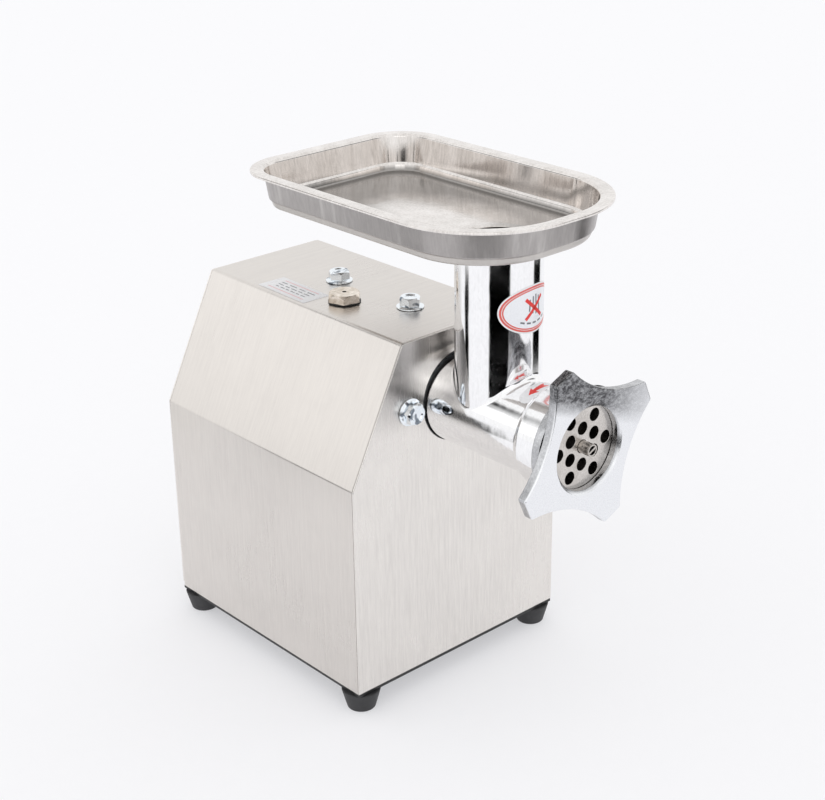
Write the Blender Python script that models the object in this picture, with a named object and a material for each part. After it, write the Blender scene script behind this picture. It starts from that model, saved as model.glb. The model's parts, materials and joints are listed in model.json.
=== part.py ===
"""Electric meat grinder: sheet-steel cabinet with motor and gearbox, cast head, hopper tray."""

import math

import bmesh
import bpy
from mathutils import Vector

MM = 0.001
GAP = 0.3 * MM
ROUND = 28
SMALL_ROUND = 12
PLATE_HOLE_ROUND = 10
TINY_ROUND = 8
WELD = 0.01 * MM
FORWARD = (math.radians(90), 0, 0)

# Cabinet. Depths run back from the cabinet's front face, heights run up from its lower edge.
SHELL_WIDTH = 216 * MM
SHELL_DEPTH = 237 * MM
SHELL_HEIGHT = 279.5 * MM
SHELL_TOP_WIDTH = 113 * MM
SHELL_KINK_HEIGHT = 175.7 * MM
SHEET = 1.5 * MM
BEND_RADIUS = 4 * MM
REAR_FLANGE = 12 * MM
BARREL_HOLE_RADIUS = 36.8 * MM
BARREL_HOLE_RISE = 1.5 * MM
BASE_THICKNESS = 2.4 * MM
BASE_SETBACK = 0.4 * MM
BASE_UPSTAND = 14 * MM
FOOT_HEIGHT = 20 * MM
FOOT_INSET = 12.5 * MM
FOOT_TOP_RADIUS = 15.8 * MM
FOOT_BOTTOM_RADIUS = 11.2 * MM

# Shafts: heights of the three parallel axes, and the gear train.
OUTPUT_HEIGHT = 222 * MM
GEAR_MODULE = 2 * MM
OUTPUT_TEETH = 44
LAY_PINION_TEETH = 16
LAY_GEAR_TEETH = 42
MOTOR_PINION_TEETH = 14
LAY_HEIGHT = OUTPUT_HEIGHT - GEAR_MODULE * (OUTPUT_TEETH + LAY_PINION_TEETH) / 2
MOTOR_HEIGHT = LAY_HEIGHT - GEAR_MODULE * (LAY_GEAR_TEETH + MOTOR_PINION_TEETH) / 2
CHAMBER_FRONT = 148 * MM
CHAMBER_WALL = 12 * MM
CHAMBER_REAR = 200 * MM
CHAMBER_RADIUS = 53 * MM
CHAMBER_INNER_RADIUS = 47.5 * MM
COVER_THICKNESS = 12 * MM
GEAR_TUBE_RADIUS = 42 * MM
MOTOR_RADIUS = 60 * MM
MOTOR_FRONT = 22 * MM

# Grinding head. Lengths run forward from the cabinet's front face.
BARREL_RADIUS = 34.9 * MM
BARREL_BORE = 27 * MM
SPIGOT_LENGTH = 26 * MM
COLLAR_RADIUS = 38.9 * MM
COLLAR_START = 98 * MM
BARREL_FRONT = 123.5 * MM
PLATE_RADIUS = 35 * MM
PLATE_THICKNESS = 7 * MM
PLATE_FRONT = 126.7 * MM
PLATE_HOLE_RADIUS = 4.95 * MM
PLATE_HOLE_PITCH = 14.1 * MM
KNIFE_RADIUS = 30 * MM
KNIFE_THICKNESS = 9 * MM
AUGER_RADIUS = 26.3 * MM
AUGER_TIP = 136.5 * MM
SQUARE_TANG = 16 * MM
SQUARE_FRONT = 12 * MM
RING_FRONT = 134.3 * MM
RING_BACK = 117 * MM
RING_WEB = 7.2 * MM
RING_OPENING = 31.9 * MM
RING_TIP_RADIUS = 68 * MM
RING_WAIST_RADIUS = 45 * MM
RING_TIP_WIDTH = 17.4 * MM
RING_TURN = math.radians(24)
FEED_FORWARD = 42 * MM
FEED_RADIUS = 32.4 * MM
FEED_BORE = 28.5 * MM

# Hopper tray. Its rim height runs up from the cabinet's lower edge.
TRAY_RIM_HEIGHT = 387.6 * MM
TRAY_HALF_WIDTH = 78.5 * MM
TRAY_FRONT = 103.4 * MM
TRAY_BACK = 149.3 * MM
TRAY_FRONT_RADIUS = 66 * MM
TRAY_BACK_RADIUS = 31 * MM
TRAY_RIM = 10.8 * MM
TRAY_DEPTH = 28.4 * MM
TRAY_STEP_DEPTH = 22 * MM
TRAY_LIP = 1.9 * MM
TRAY_DRAFT = 3 * MM
TRAY_STEP = 1.5 * MM
TRAY_SHEET = 1 * MM
TRAY_NECK_LENGTH = 22 * MM
FEED_TOP = TRAY_RIM_HEIGHT - TRAY_DEPTH - TRAY_SHEET - GAP

# Fasteners and fittings.
BOLT_RADIUS = 5 * MM
BOLT_FLANGE_RADIUS = 10.9 * MM
BOLT_FLATS = 16 * MM
TOP_BOLT_DEPTHS = (54.5 * MM, 140 * MM)
FRONT_BOLT_SPREAD = 51 * MM
FRONT_BOLT_HEIGHT = OUTPUT_HEIGHT + 2 * MM
PLUG_OFFSET = -28 * MM
PLUG_DEPTH = 100 * MM
PLUG_FLATS = 24 * MM
SWITCH_OFFSET = 70 * MM
SWITCH_HEIGHT = 62 * MM
SWITCH_WIDTH = 22 * MM
SWITCH_TALL = 30 * MM
GLAND_OFFSET = -72 * MM
GLAND_HEIGHT = 40 * MM
REAR_REACH = 18 * MM

FRONT_REACH = AUGER_TIP
OVERALL_LENGTH = FRONT_REACH + SHELL_DEPTH + REAR_REACH
SHELL_FRONT_Y = FRONT_REACH - OVERALL_LENGTH / 2
REAR_FACE = SHELL_DEPTH + GAP + SHEET


def clear_scene():
    for obj in list(bpy.data.objects):
        bpy.data.objects.remove(obj, do_unlink=True)


def material(name, colour, roughness, metallic):
    made = bpy.data.materials.new(name)
    made.use_nodes = True
    shader = made.node_tree.nodes["Principled BSDF"]
    shader.inputs["Base Color"].default_value = (*colour, 1)
    shader.inputs["Roughness"].default_value = roughness
    shader.inputs["Metallic"].default_value = metallic
    return made


def frame_at(name, height, rotation=(0, 0, 0), forward=0):
    """An empty on the cabinet's centre plane, at a height above the cabinet's lower edge."""
    empty = bpy.data.objects.new(name, None)
    bpy.context.scene.collection.objects.link(empty)
    empty.location = (0, SHELL_FRONT_Y - forward, FOOT_HEIGHT + height)
    empty.rotation_euler = rotation
    return empty


def piece(name, bm, finish, parent, location=(0, 0, 0), rotation=(0, 0, 0)):
    """Turns a bmesh into a named object in its parent's frame."""
    bmesh.ops.recalc_face_normals(bm, faces=bm.faces)
    mesh = bpy.data.meshes.new(name)
    bm.to_mesh(mesh)
    bm.free()
    mesh.materials.append(finish)
    mesh.shade_smooth()
    mesh.set_sharp_from_angle(angle=math.radians(35))
    return copy_of(mesh, name, parent, location, rotation)


def copy_of(mesh, name, parent, location=(0, 0, 0), rotation=(0, 0, 0)):
    obj = bpy.data.objects.new(name, mesh)
    bpy.context.scene.collection.objects.link(obj)
    obj.parent = parent
    obj.location = location
    obj.rotation_euler = rotation
    return obj


def combine(target, bm, operation, location=(0, 0, 0), rotation=(0, 0, 0)):
    """Cuts a shape from the target, or adds it, in the frame of the target's parent."""
    index = len(target.modifiers)
    name = f"{target.name}_{operation.lower()}_{index}"
    tool = piece(name, bm, target.data.materials[0], target.parent, location, rotation)
    tool.hide_render = True
    tool.display_type = "WIRE"
    modifier = target.modifiers.new(name, "BOOLEAN")
    modifier.operation = operation
    modifier.solver = "EXACT"
    modifier.object = tool


def cut(target, bm, location=(0, 0, 0), rotation=(0, 0, 0)):
    combine(target, bm, "DIFFERENCE", location, rotation)


def add(target, bm, location=(0, 0, 0), rotation=(0, 0, 0)):
    combine(target, bm, "UNION", location, rotation)


def turned(profile, segments):
    """Turns (radius, height) points about Z. Off the axis, the profile closes on itself."""
    bm = bmesh.new()
    verts = [bm.verts.new((radius, 0, height)) for radius, height in profile]
    edges = [bm.edges.new(pair) for pair in zip(verts, verts[1:])]
    if profile[0][0] > 0:
        edges.append(bm.edges.new((verts[-1], verts[0])))
    bmesh.ops.spin(
        bm,
        geom=verts + edges,
        cent=(0, 0, 0),
        axis=(0, 0, 1),
        dvec=(0, 0, 0),
        angle=math.tau,
        steps=segments,
        use_merge=True,
    )
    bmesh.ops.remove_doubles(bm, verts=bm.verts, dist=1e-6)
    return bm


def cylinder(radius, low, high, segments=SMALL_ROUND):
    return turned([(0, low), (radius, low), (radius, high), (0, high)], segments)


def ring(inner, outer, low, high, segments=SMALL_ROUND):
    return turned([(inner, low), (outer, low), (outer, high), (inner, high)], segments)


def prism(outline, low, high):
    """Extrudes an (x, y) outline along Z."""
    bm = bmesh.new()
    face = bm.faces.new([bm.verts.new((x, y, low)) for x, y in outline])
    raised = bmesh.ops.extrude_face_region(bm, geom=[face])["geom"]
    moved = [item for item in raised if isinstance(item, bmesh.types.BMVert)]
    bmesh.ops.translate(bm, verts=moved, vec=(0, 0, high - low))
    return bm


def block(low, high):
    corners = [(low[0], low[1]), (high[0], low[1]), (high[0], high[1]), (low[0], high[1])]
    return prism(corners, low[2], high[2])


def repeated(make, places):
    """One bmesh holding a copy of a shape at each place."""
    joined = bmesh.new()
    for place in places:
        bm = make()
        bmesh.ops.translate(bm, verts=bm.verts, vec=place)
        mesh = bpy.data.meshes.new("copy")
        bm.to_mesh(mesh)
        bm.free()
        joined.from_mesh(mesh)
        bpy.data.meshes.remove(mesh)
    return joined


def regular(count, flats, turn=0):
    """A regular polygon, given its distance across flats."""
    radius = flats / 2 / math.cos(math.pi / count)
    return [polar(radius, turn + math.tau * index / count) for index in range(count)]


def polar(radius, angle):
    return (radius * math.cos(angle), radius * math.sin(angle))


def rounded(points, radii, steps):
    """Replaces each corner of a closed outline by an arc of its own radius."""
    outline = []
    count = len(points)
    for index, radius in enumerate(radii):
        corner = Vector(points[index])
        before = (Vector(points[index - 1]) - corner).normalized()
        after = (Vector(points[(index + 1) % count]) - corner).normalized()
        if radius == 0:
            outline.append(tuple(corner))
            continue
        half = before.angle(after) / 2
        centre = corner + (before + after).normalized() * radius / math.sin(half)
        first = corner + before * radius / math.tan(half) - centre
        last = corner + after * radius / math.tan(half) - centre
        sweep = last.angle_signed(first)
        start = math.atan2(first.y, first.x)
        for step in range(steps + 1):
            x, y = polar(radius, start + sweep * step / steps)
            outline.append((centre.x + x, centre.y + y))
    return outline


def stadium(radius, low, high, steps=12):
    """An upright slot outline round two centres on the Y axis."""
    outline = []
    for centre, start in ((low, math.pi), (high, 0)):
        for step in range(steps + 1):
            x, y = polar(radius, start + math.pi * step / steps)
            outline.append((x, centre + y))
    return outline


def gable(inset, low=0.0, steps=3):
    """The cabinet's five-sided end shape, drawn in by an inset, with bent corners."""
    side = SHELL_WIDTH / 2 - inset
    run = (SHELL_WIDTH - SHELL_TOP_WIDTH) / 2
    rise = SHELL_HEIGHT - SHELL_KINK_HEIGHT
    lean = math.atan2(run, rise)
    kink = SHELL_KINK_HEIGHT - inset * math.tan(lean / 2)
    top = SHELL_TOP_WIDTH / 2 - inset * math.tan((math.pi / 2 - lean) / 2)
    ridge = SHELL_HEIGHT - inset
    bend = max(BEND_RADIUS - inset, 1 * MM)
    corners = [(-side, low), (side, low), (side, kink), (top, ridge), (-top, ridge), (-side, kink)]
    return rounded(corners, [0, 0, bend, bend, bend, bend], steps)


def gear(teeth, bore, low, high, turn):
    """A spur gear with straight-flanked teeth; turn is the angle of one tooth's middle."""
    pitch = GEAR_MODULE * teeth / 2
    tip = pitch + 0.75 * GEAR_MODULE
    root = pitch - 1.1 * GEAR_MODULE
    step = math.tau / teeth
    corners = ((root, -0.3), (tip, -0.11), (tip, 0.11), (root, 0.3))
    outline = [
        polar(radius, turn + step * (tooth + part)) for tooth in range(teeth) for radius, part in corners
    ]
    bm = prism(outline, low, high)
    return bm, cylinder(bore, low - 1 * MM, high + 1 * MM)


def flange_bolt(length):
    """A hexagon bolt with a washer face, its head above Z = 0."""
    flange = 2.2 * MM
    profile = [
        (0, -length),
        (BOLT_RADIUS - GAP, -length),
        (BOLT_RADIUS - GAP, 0),
        (BOLT_FLANGE_RADIUS, 0),
        (BOLT_FLANGE_RADIUS, 1 * MM),
        (BOLT_FLATS / 2, flange),
        (0, flange),
    ]
    return turned(profile, SMALL_ROUND), prism(regular(6, BOLT_FLATS), 1.2 * MM, 9.5 * MM)


def cap_screw(radius, head_radius, head, length, segments=TINY_ROUND):
    profile = [
        (0, -length),
        (radius, -length),
        (radius, 0),
        (head_radius, 0),
        (head_radius, head * 0.6),
        (head_radius * 0.6, head),
        (0, head),
    ]
    return turned(profile, segments)


def build_cabinet(frame, stand, finishes):
    """Front panel, folded wrap, rear panel and base, in the frame whose Z runs forward."""
    steel = finishes["brushed_steel"]
    far = 20 * MM

    front = piece("front_panel", prism(gable(0), -SHEET, 0), steel, frame)
    hole_place = (0, OUTPUT_HEIGHT + BARREL_HOLE_RISE, 0)
    cut(front, cylinder(BARREL_HOLE_RADIUS, -far, far, ROUND), hole_place)
    bolt_places = [(side * FRONT_BOLT_SPREAD, FRONT_BOLT_HEIGHT, 0) for side in (-1, 1)]
    cut(front, repeated(lambda: cylinder(BOLT_RADIUS + GAP, -far, far, SMALL_ROUND), bolt_places))

    wrap_front = -SHEET - GAP
    wrap = piece("housing_wrap", prism(gable(0), -SHELL_DEPTH, wrap_front), steel, frame)
    cut(wrap, prism(gable(SHEET, -far), -SHELL_DEPTH + SHEET, far))
    cut(wrap, prism(gable(SHEET + REAR_FLANGE, -far), -SHELL_DEPTH - far, far))
    top_holes = [(BOLT_RADIUS + GAP, 0, depth) for depth in TOP_BOLT_DEPTHS]
    top_holes.append((9 * MM + GAP, PLUG_OFFSET, PLUG_DEPTH))
    for radius, across, depth in top_holes:
        place = (across, SHELL_HEIGHT - far, -depth)
        cut(wrap, cylinder(radius, 0, 2 * far, SMALL_ROUND), place, (-math.pi / 2, 0, 0))

    panel = piece(
        "rear_panel",
        prism(gable(1 * MM, 3 * MM), -REAR_FACE, -SHELL_DEPTH - GAP),
        steel,
        frame,
    )
    slot = (44 * MM, 4 * MM)
    slots = [
        (side * 34 * MM - slot[0] / 2, height * MM, -REAR_FACE - far)
        for side in (-1, 1)
        for height in range(120, 211, 22)
    ]
    cut(panel, repeated(lambda: block((0, 0, 0), (*slot, 2 * far)), slots))
    half = (SWITCH_WIDTH / 2 - GAP, SWITCH_TALL / 2 - GAP)
    opening = block((-half[0], -half[1], -far), (half[0], half[1], far))
    cut(panel, opening, (SWITCH_OFFSET, SWITCH_HEIGHT, -REAR_FACE))
    cut(panel, cylinder(8 * MM, -far, far, SMALL_ROUND), (GLAND_OFFSET, GLAND_HEIGHT, -REAR_FACE))

    across = SHELL_WIDTH / 2 - BASE_SETBACK
    upstand = SHELL_WIDTH / 2 - SHEET - GAP
    plate = block(
        (-across, BASE_SETBACK, -BASE_THICKNESS - GAP), (across, SHELL_DEPTH - BASE_SETBACK, -GAP)
    )
    base = piece("base_plate", plate, finishes["black_steel"], stand)
    inner = upstand - BASE_THICKNESS
    near = SHEET + 2 * GAP
    back = SHELL_DEPTH - SHEET - 2 * GAP
    add(base, block((-upstand, near, -1 * MM), (upstand, back, BASE_UPSTAND)))
    pocket_low = (-inner, near + BASE_THICKNESS, -GAP)
    cut(base, block(pocket_low, (inner, back - BASE_THICKNESS, far)))

    screws = rear_screw_places()
    for target in (wrap, panel):
        cut(target, repeated(lambda: cylinder(2.3 * MM, -far, far, TINY_ROUND), screws))
    mesh = None
    for index, place in enumerate(screws):
        spot = (place[0], place[1], -REAR_FACE - GAP)
        name = f"rear_screw_{index + 1}"
        if mesh is None:
            bm = cap_screw(2 * MM, 3.8 * MM, 2.4 * MM, 9 * MM)
            mesh = piece(name, bm, finishes["zinc"], frame, spot, (math.pi, 0, 0)).data
        else:
            copy_of(mesh, name, frame, spot, (math.pi, 0, 0))
    return base


def rear_screw_places():
    """Two screws low on the sides and two on the slopes, through the wrap's rear flange."""
    flange = SHEET + REAR_FLANGE / 2
    low = (SHELL_WIDTH / 2 - flange, 40 * MM)
    high = (SHELL_TOP_WIDTH / 2 - 4 * MM, SHELL_HEIGHT - flange)
    return [(side * x, y, -SHELL_DEPTH) for x, y in (low, high) for side in (-1, 1)]


def build_feet(stand, base, finishes):
    """Four tapered rubber feet, each with a screw up through the base plate."""
    top = -BASE_THICKNESS - 2 * GAP
    foot_mesh = None
    screw_mesh = None
    shoulder = -11 * MM
    depths = {"front": FOOT_INSET, "rear": SHELL_DEPTH - FOOT_INSET}
    for side, hand in ((-1, "left"), (1, "right")):
        for end, depth in depths.items():
            place = (side * (SHELL_WIDTH / 2 - FOOT_INSET), depth, 0)
            if foot_mesh is None:
                profile = [
                    (2.8 * MM, top),
                    (FOOT_TOP_RADIUS, top),
                    (FOOT_BOTTOM_RADIUS, -FOOT_HEIGHT + 1 * MM),
                    (FOOT_BOTTOM_RADIUS - 1 * MM, -FOOT_HEIGHT),
                    (5.8 * MM, -FOOT_HEIGHT),
                    (5.8 * MM, shoulder),
                    (2.8 * MM, shoulder),
                ]
                shape = turned(profile, SMALL_ROUND)
                foot_mesh = piece("foot_left_front", shape, finishes["rubber"], stand, place).data
                screw = cap_screw(2.5 * MM, 5 * MM, 3 * MM, 14 * MM)
                spot = (place[0], place[1], shoulder - GAP)
                named = "foot_screw_left_front"
                flipped = (math.pi, 0, 0)
                screw_mesh = piece(named, screw, finishes["zinc"], stand, spot, flipped).data
            else:
                copy_of(foot_mesh, f"foot_{hand}_{end}", stand, place)
                spot = (place[0], place[1], shoulder - GAP)
                copy_of(screw_mesh, f"foot_screw_{hand}_{end}", stand, spot, (math.pi, 0, 0))
            cut(base, cylinder(2.8 * MM, -20 * MM, 20 * MM, TINY_ROUND), place)


def build_gearbox(frame, finishes):
    """The cast gearbox: gear chamber, shaft tube with the head's socket, bosses and pedestal."""
    cast = finishes["cast_iron"]
    chamber = prism(stadium(CHAMBER_RADIUS, MOTOR_HEIGHT, OUTPUT_HEIGHT), -CHAMBER_REAR, -CHAMBER_FRONT)
    body = piece("gearbox_body", chamber, cast, frame)
    tube_front = -SHEET - 2 * GAP
    on_axis = (0, OUTPUT_HEIGHT, 0)
    add(body, cylinder(GEAR_TUBE_RADIUS, -CHAMBER_FRONT - 2 * MM, tube_front, ROUND), on_axis)
    ear = FRONT_BOLT_SPREAD + 11 * MM
    ear_front = tube_front - 1 * MM
    ears = block((-ear, -12 * MM, ear_front - 12 * MM), (ear, 12 * MM, ear_front))
    add(body, ears, (0, FRONT_BOLT_HEIGHT, 0))
    boss_top = SHELL_HEIGHT - SHEET - GAP
    upright = (-math.pi / 2, 0, 0)
    for depth in TOP_BOLT_DEPTHS:
        add(body, cylinder(10 * MM, 0, 25 * MM, SMALL_ROUND), (0, boss_top - 25 * MM, -depth), upright)
    filler = (PLUG_OFFSET, boss_top - 35 * MM, -PLUG_DEPTH)
    add(body, cylinder(14 * MM, 0, 35 * MM, SMALL_ROUND), filler, upright)
    pedestal_rear = -CHAMBER_REAR + 3 * MM
    pedestal_front = -CHAMBER_FRONT - 3 * MM
    add(body, block((-46 * MM, 4 * MM, pedestal_rear), (46 * MM, 75 * MM, pedestal_front)))
    foot_low = (-64 * MM, 0, pedestal_rear + 1 * MM)
    add(body, block(foot_low, (64 * MM, 9 * MM, pedestal_front - 1 * MM)))

    socket = BARREL_RADIUS + 0.4 * MM
    inner_wall = CHAMBER_FRONT + CHAMBER_WALL
    bore = [
        (0, 5 * MM),
        (socket, 5 * MM),
        (socket, -SPIGOT_LENGTH - 1 * MM),
        (24.3 * MM, -SPIGOT_LENGTH - 1 * MM),
        (24.3 * MM, -35 * MM),
        (26.3 * MM, -35 * MM),
        (26.3 * MM, -51 * MM),
        (32 * MM, -53 * MM),
        (32 * MM, -inner_wall - 1 * MM),
        (0, -inner_wall - 1 * MM),
    ]
    cut(body, turned(bore[::-1], ROUND), on_axis, (0, 0, math.pi / ROUND))
    cavity = stadium(CHAMBER_INNER_RADIUS, MOTOR_HEIGHT, OUTPUT_HEIGHT)
    cut(body, prism(cavity, -CHAMBER_REAR - 5 * MM, -inner_wall))
    shaft_hole = cylinder(18 * MM, -inner_wall - 1 * MM, -CHAMBER_FRONT + 5 * MM)
    cut(body, shaft_hole, (0, MOTOR_HEIGHT, 0))
    lay_seat = cylinder(13.3 * MM, -inner_wall - 1 * MM, -inner_wall + 8.3 * MM, ROUND)
    cut(body, lay_seat, (0, LAY_HEIGHT, 0))
    for side in (-1, 1):
        place = (side * FRONT_BOLT_SPREAD, FRONT_BOLT_HEIGHT, 0)
        cut(body, cylinder(BOLT_RADIUS, -40 * MM, 5 * MM, SMALL_ROUND), place)
        foot = (side * 55 * MM, -5 * MM, -(CHAMBER_FRONT + CHAMBER_REAR) / 2)
        cut(body, cylinder(3.4 * MM, 0, 30 * MM, TINY_ROUND), foot, upright)
    for depth in TOP_BOLT_DEPTHS:
        cut(body, cylinder(BOLT_RADIUS, 0, 40 * MM, SMALL_ROUND), (0, boss_top - 18 * MM, -depth), upright)
    oil_hole = (PLUG_OFFSET, OUTPUT_HEIGHT + 4 * MM, -PLUG_DEPTH)
    cut(body, cylinder(9 * MM, 0, 60 * MM, SMALL_ROUND), oil_hole, upright)

    cover_front = -CHAMBER_REAR - GAP
    cover_rear = cover_front - COVER_THICKNESS
    outline = stadium(CHAMBER_RADIUS, MOTOR_HEIGHT, OUTPUT_HEIGHT)
    cover = piece("gearbox_cover", prism(outline, cover_rear, cover_front), cast, frame)
    cut(cover, cylinder(21.3 * MM, cover_front - 9.5 * MM, 0, ROUND), on_axis)
    cut(cover, cylinder(13.3 * MM, cover_front - 8.5 * MM, 0, ROUND), (0, LAY_HEIGHT, 0))
    corner = CHAMBER_RADIUS - 2.8 * MM
    diagonal = corner * math.cos(math.radians(45))
    mesh = None
    number = 0
    for height in (OUTPUT_HEIGHT + diagonal, MOTOR_HEIGHT - diagonal):
        for side in (-1, 1):
            number += 1
            place = (side * diagonal, height, cover_rear - GAP)
            for target in (cover, body):
                cut(target, cylinder(2 * MM, -2 * MM, 27 * MM, TINY_ROUND), place)
            name = f"cover_screw_{number}"
            if mesh is None:
                bm = cap_screw(1.7 * MM, 3.6 * MM, 3 * MM, 24 * MM)
                mesh = piece(name, bm, finishes["zinc"], frame, place, (math.pi, 0, 0)).data
            else:
                copy_of(mesh, name, frame, place, (math.pi, 0, 0))


def build_gearbox_feet_bolts(stand, base, finishes):
    mesh = None
    for side, hand in ((-1, "left"), (1, "right")):
        place = (side * 55 * MM, (CHAMBER_FRONT + CHAMBER_REAR) / 2, 9 * MM + GAP)
        name = f"gearbox_bolt_{hand}"
        if mesh is None:
            bolt = prism(regular(6, 10 * MM), 0, 4 * MM)
            first = piece(name, bolt, finishes["zinc"], stand, place)
            mesh = first.data
        else:
            first = copy_of(mesh, name, stand, place)
        add(first, cylinder(3 * MM, -11 * MM, 1 * MM, TINY_ROUND), place)
        cut(base, cylinder(3.4 * MM, -20 * MM, 20 * MM, TINY_ROUND), place)


def bearing(name, inner, outer, low, high, frame, finishes):
    return piece(name, ring(inner, outer, low, high, ROUND), finishes["bearing_steel"], frame)


def toothed(name, teeth, bore, low, high, turn, finishes, frame):
    blank, hole = gear(teeth, bore, low, high, turn)
    made = piece(name, blank, finishes["gear_steel"], frame)
    cut(made, hole)
    return made


def build_output_drive(axis, finishes):
    """The output shaft with its square socket, its gear, its bearings and its seal."""
    rear = CHAMBER_REAR + GAP
    profile = [
        (0, -rear - 8.5 * MM),
        (9.7 * MM, -rear - 8.5 * MM),
        (9.7 * MM, -CHAMBER_REAR + 1 * MM),
        (12.5 * MM, -CHAMBER_REAR + 1 * MM),
        (12.5 * MM, -62 * MM),
        (20 * MM, -58 * MM),
        (20 * MM, -51 * MM),
        (17.2 * MM, -51 * MM),
        (17.2 * MM, -SPIGOT_LENGTH - 2.5 * MM),
        (0, -SPIGOT_LENGTH - 2.5 * MM),
    ]
    shaft = piece("output_shaft", turned(profile, SMALL_ROUND), finishes["gear_steel"], axis)
    half = SQUARE_TANG / 2 + GAP
    cut(shaft, block((-half, -half, -50 * MM), (half, half, 0)))
    down = -math.pi / 2
    toothed("output_gear", OUTPUT_TEETH, 12.8 * MM, -196 * MM, -178 * MM, down, finishes, axis)
    bearing("output_bearing_front", 17.5 * MM, 26 * MM, -50.5 * MM, -35.5 * MM, axis, finishes)
    bearing("output_bearing_rear", 10 * MM, 21 * MM, -rear - 9 * MM, -rear - 0.2 * MM, axis, finishes)
    seal = ring(17.5 * MM, 24 * MM, -34.7 * MM, -SPIGOT_LENGTH - 3 * MM, ROUND)
    piece("shaft_seal", seal, finishes["rubber"], axis)


def build_layshaft(axis, finishes):
    """The layshaft, whose large gear meets the motor pinion and whose pinion turns the output."""
    wall = CHAMBER_FRONT + CHAMBER_WALL
    rear = CHAMBER_REAR + GAP
    profile = [
        (0, -rear - 7.5 * MM),
        (4.7 * MM, -rear - 7.5 * MM),
        (4.7 * MM, -CHAMBER_REAR + 1 * MM),
        (8 * MM, -CHAMBER_REAR + 1 * MM),
        (8 * MM, -wall - 1 * MM),
        (4.7 * MM, -wall - 1 * MM),
        (4.7 * MM, -wall + 7 * MM),
        (0, -wall + 7 * MM),
    ]
    piece("layshaft", turned(profile, SMALL_ROUND), finishes["gear_steel"], axis)
    up = math.pi / 2 + math.pi / LAY_PINION_TEETH
    down = -math.pi / 2
    toothed("layshaft_pinion", LAY_PINION_TEETH, 8.3 * MM, -197 * MM, -177 * MM, up, finishes, axis)
    toothed("layshaft_gear", LAY_GEAR_TEETH, 8.3 * MM, -174 * MM, -163 * MM, down, finishes, axis)
    front = "layshaft_bearing_front"
    bearing(front, 5 * MM, 13 * MM, -wall - 0.2 * MM, -wall + 8 * MM, axis, finishes)
    back = "layshaft_bearing_rear"
    bearing(back, 5 * MM, 13 * MM, -rear - 8.2 * MM, -rear - 0.2 * MM, axis, finishes)


def build_motor(axis, finishes):
    """The induction motor: housing, two end bells, stator, rotor, pinion, fan and bearings."""
    aluminium = finishes["cast_aluminium"]
    inner = MOTOR_RADIUS - 5 * MM
    front = -MOTOR_FRONT
    bell = 17.7 * MM
    rear = -CHAMBER_FRONT + GAP
    housing_front = front - bell - GAP
    housing_rear = rear + bell + GAP
    housing = ring(inner, MOTOR_RADIUS, housing_rear, housing_front, ROUND)
    piece("motor_housing", housing, aluminium, axis)

    seat = 17.8 * MM
    drive_bell = [
        (seat, rear + bell),
        (MOTOR_RADIUS, rear + bell),
        (MOTOR_RADIUS, rear),
        (8.3 * MM, rear),
        (8.3 * MM, rear + 5 * MM),
        (seat, rear + 5 * MM),
    ]
    piece("motor_drive_bell", turned(drive_bell, ROUND), aluminium, axis)
    fan_bell = [
        (0, front),
        (MOTOR_RADIUS - 4 * MM, front),
        (MOTOR_RADIUS, front - 4 * MM),
        (MOTOR_RADIUS, front - bell),
        (inner + 1 * MM, front - bell),
        (inner + 1 * MM, front - 5 * MM),
        (22 * MM, front - 5 * MM),
        (22 * MM, front - bell),
        (seat, front - bell),
        (seat, front - 4 * MM),
        (0, front - 4 * MM),
    ]
    vented = piece("motor_fan_bell", turned(fan_bell[::-1], ROUND), aluminium, axis)
    vents = [(*polar(38 * MM, math.tau * index / 6), front) for index in range(6)]
    cut(vented, repeated(lambda: cylinder(5 * MM, -10 * MM, 10 * MM, TINY_ROUND), vents))

    coil = 10 * MM
    stator = [
        (34 * MM, -112 * MM),
        (38 * MM, -112 * MM - coil),
        (50 * MM, -112 * MM - coil),
        (52 * MM, -112 * MM),
        (inner - GAP, -112 * MM),
        (inner - GAP, -70 * MM),
        (52 * MM, -70 * MM),
        (50 * MM, -70 * MM + coil),
        (38 * MM, -70 * MM + coil),
        (34 * MM, -70 * MM),
    ]
    piece("motor_stator", turned(stator, ROUND), finishes["copper"], axis)
    shaft = 7.2 * MM
    rotor = [
        (0, -176 * MM),
        (shaft, -176 * MM),
        (shaft, -110 * MM),
        (33.4 * MM, -110 * MM),
        (33.4 * MM, -72 * MM),
        (shaft, -72 * MM),
        (shaft, front - 5 * MM),
        (0, front - 5 * MM),
    ]
    piece("motor_rotor", turned(rotor, SMALL_ROUND), finishes["gear_steel"], axis)
    gap_up = math.pi / 2 + math.pi / MOTOR_PINION_TEETH
    toothed("motor_pinion", MOTOR_PINION_TEETH, 7.5 * MM, -175.5 * MM, -162.5 * MM, gap_up, finishes, axis)
    race = 11 * MM
    bearing_front = front - bell + 1 * MM
    bearing_rear = rear + 5.5 * MM
    bearing("motor_bearing_front", 7.5 * MM, 17.5 * MM, bearing_front, bearing_front + race, axis, finishes)
    bearing("motor_bearing_rear", 7.5 * MM, 17.5 * MM, bearing_rear, bearing_rear + race, axis, finishes)
    fan = piece("cooling_fan", ring(7.5 * MM, 14 * MM, -54 * MM, -43 * MM), finishes["black_plastic"], axis)
    add(fan, ring(12 * MM, 47 * MM, -54 * MM, -52.5 * MM))
    for index in range(7):
        blade = block((12.5 * MM, -0.8 * MM, -53 * MM), (45 * MM, 0.8 * MM, -44 * MM))
        add(fan, blade, rotation=(0, 0, math.tau * (index + 0.3) / 7))


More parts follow.
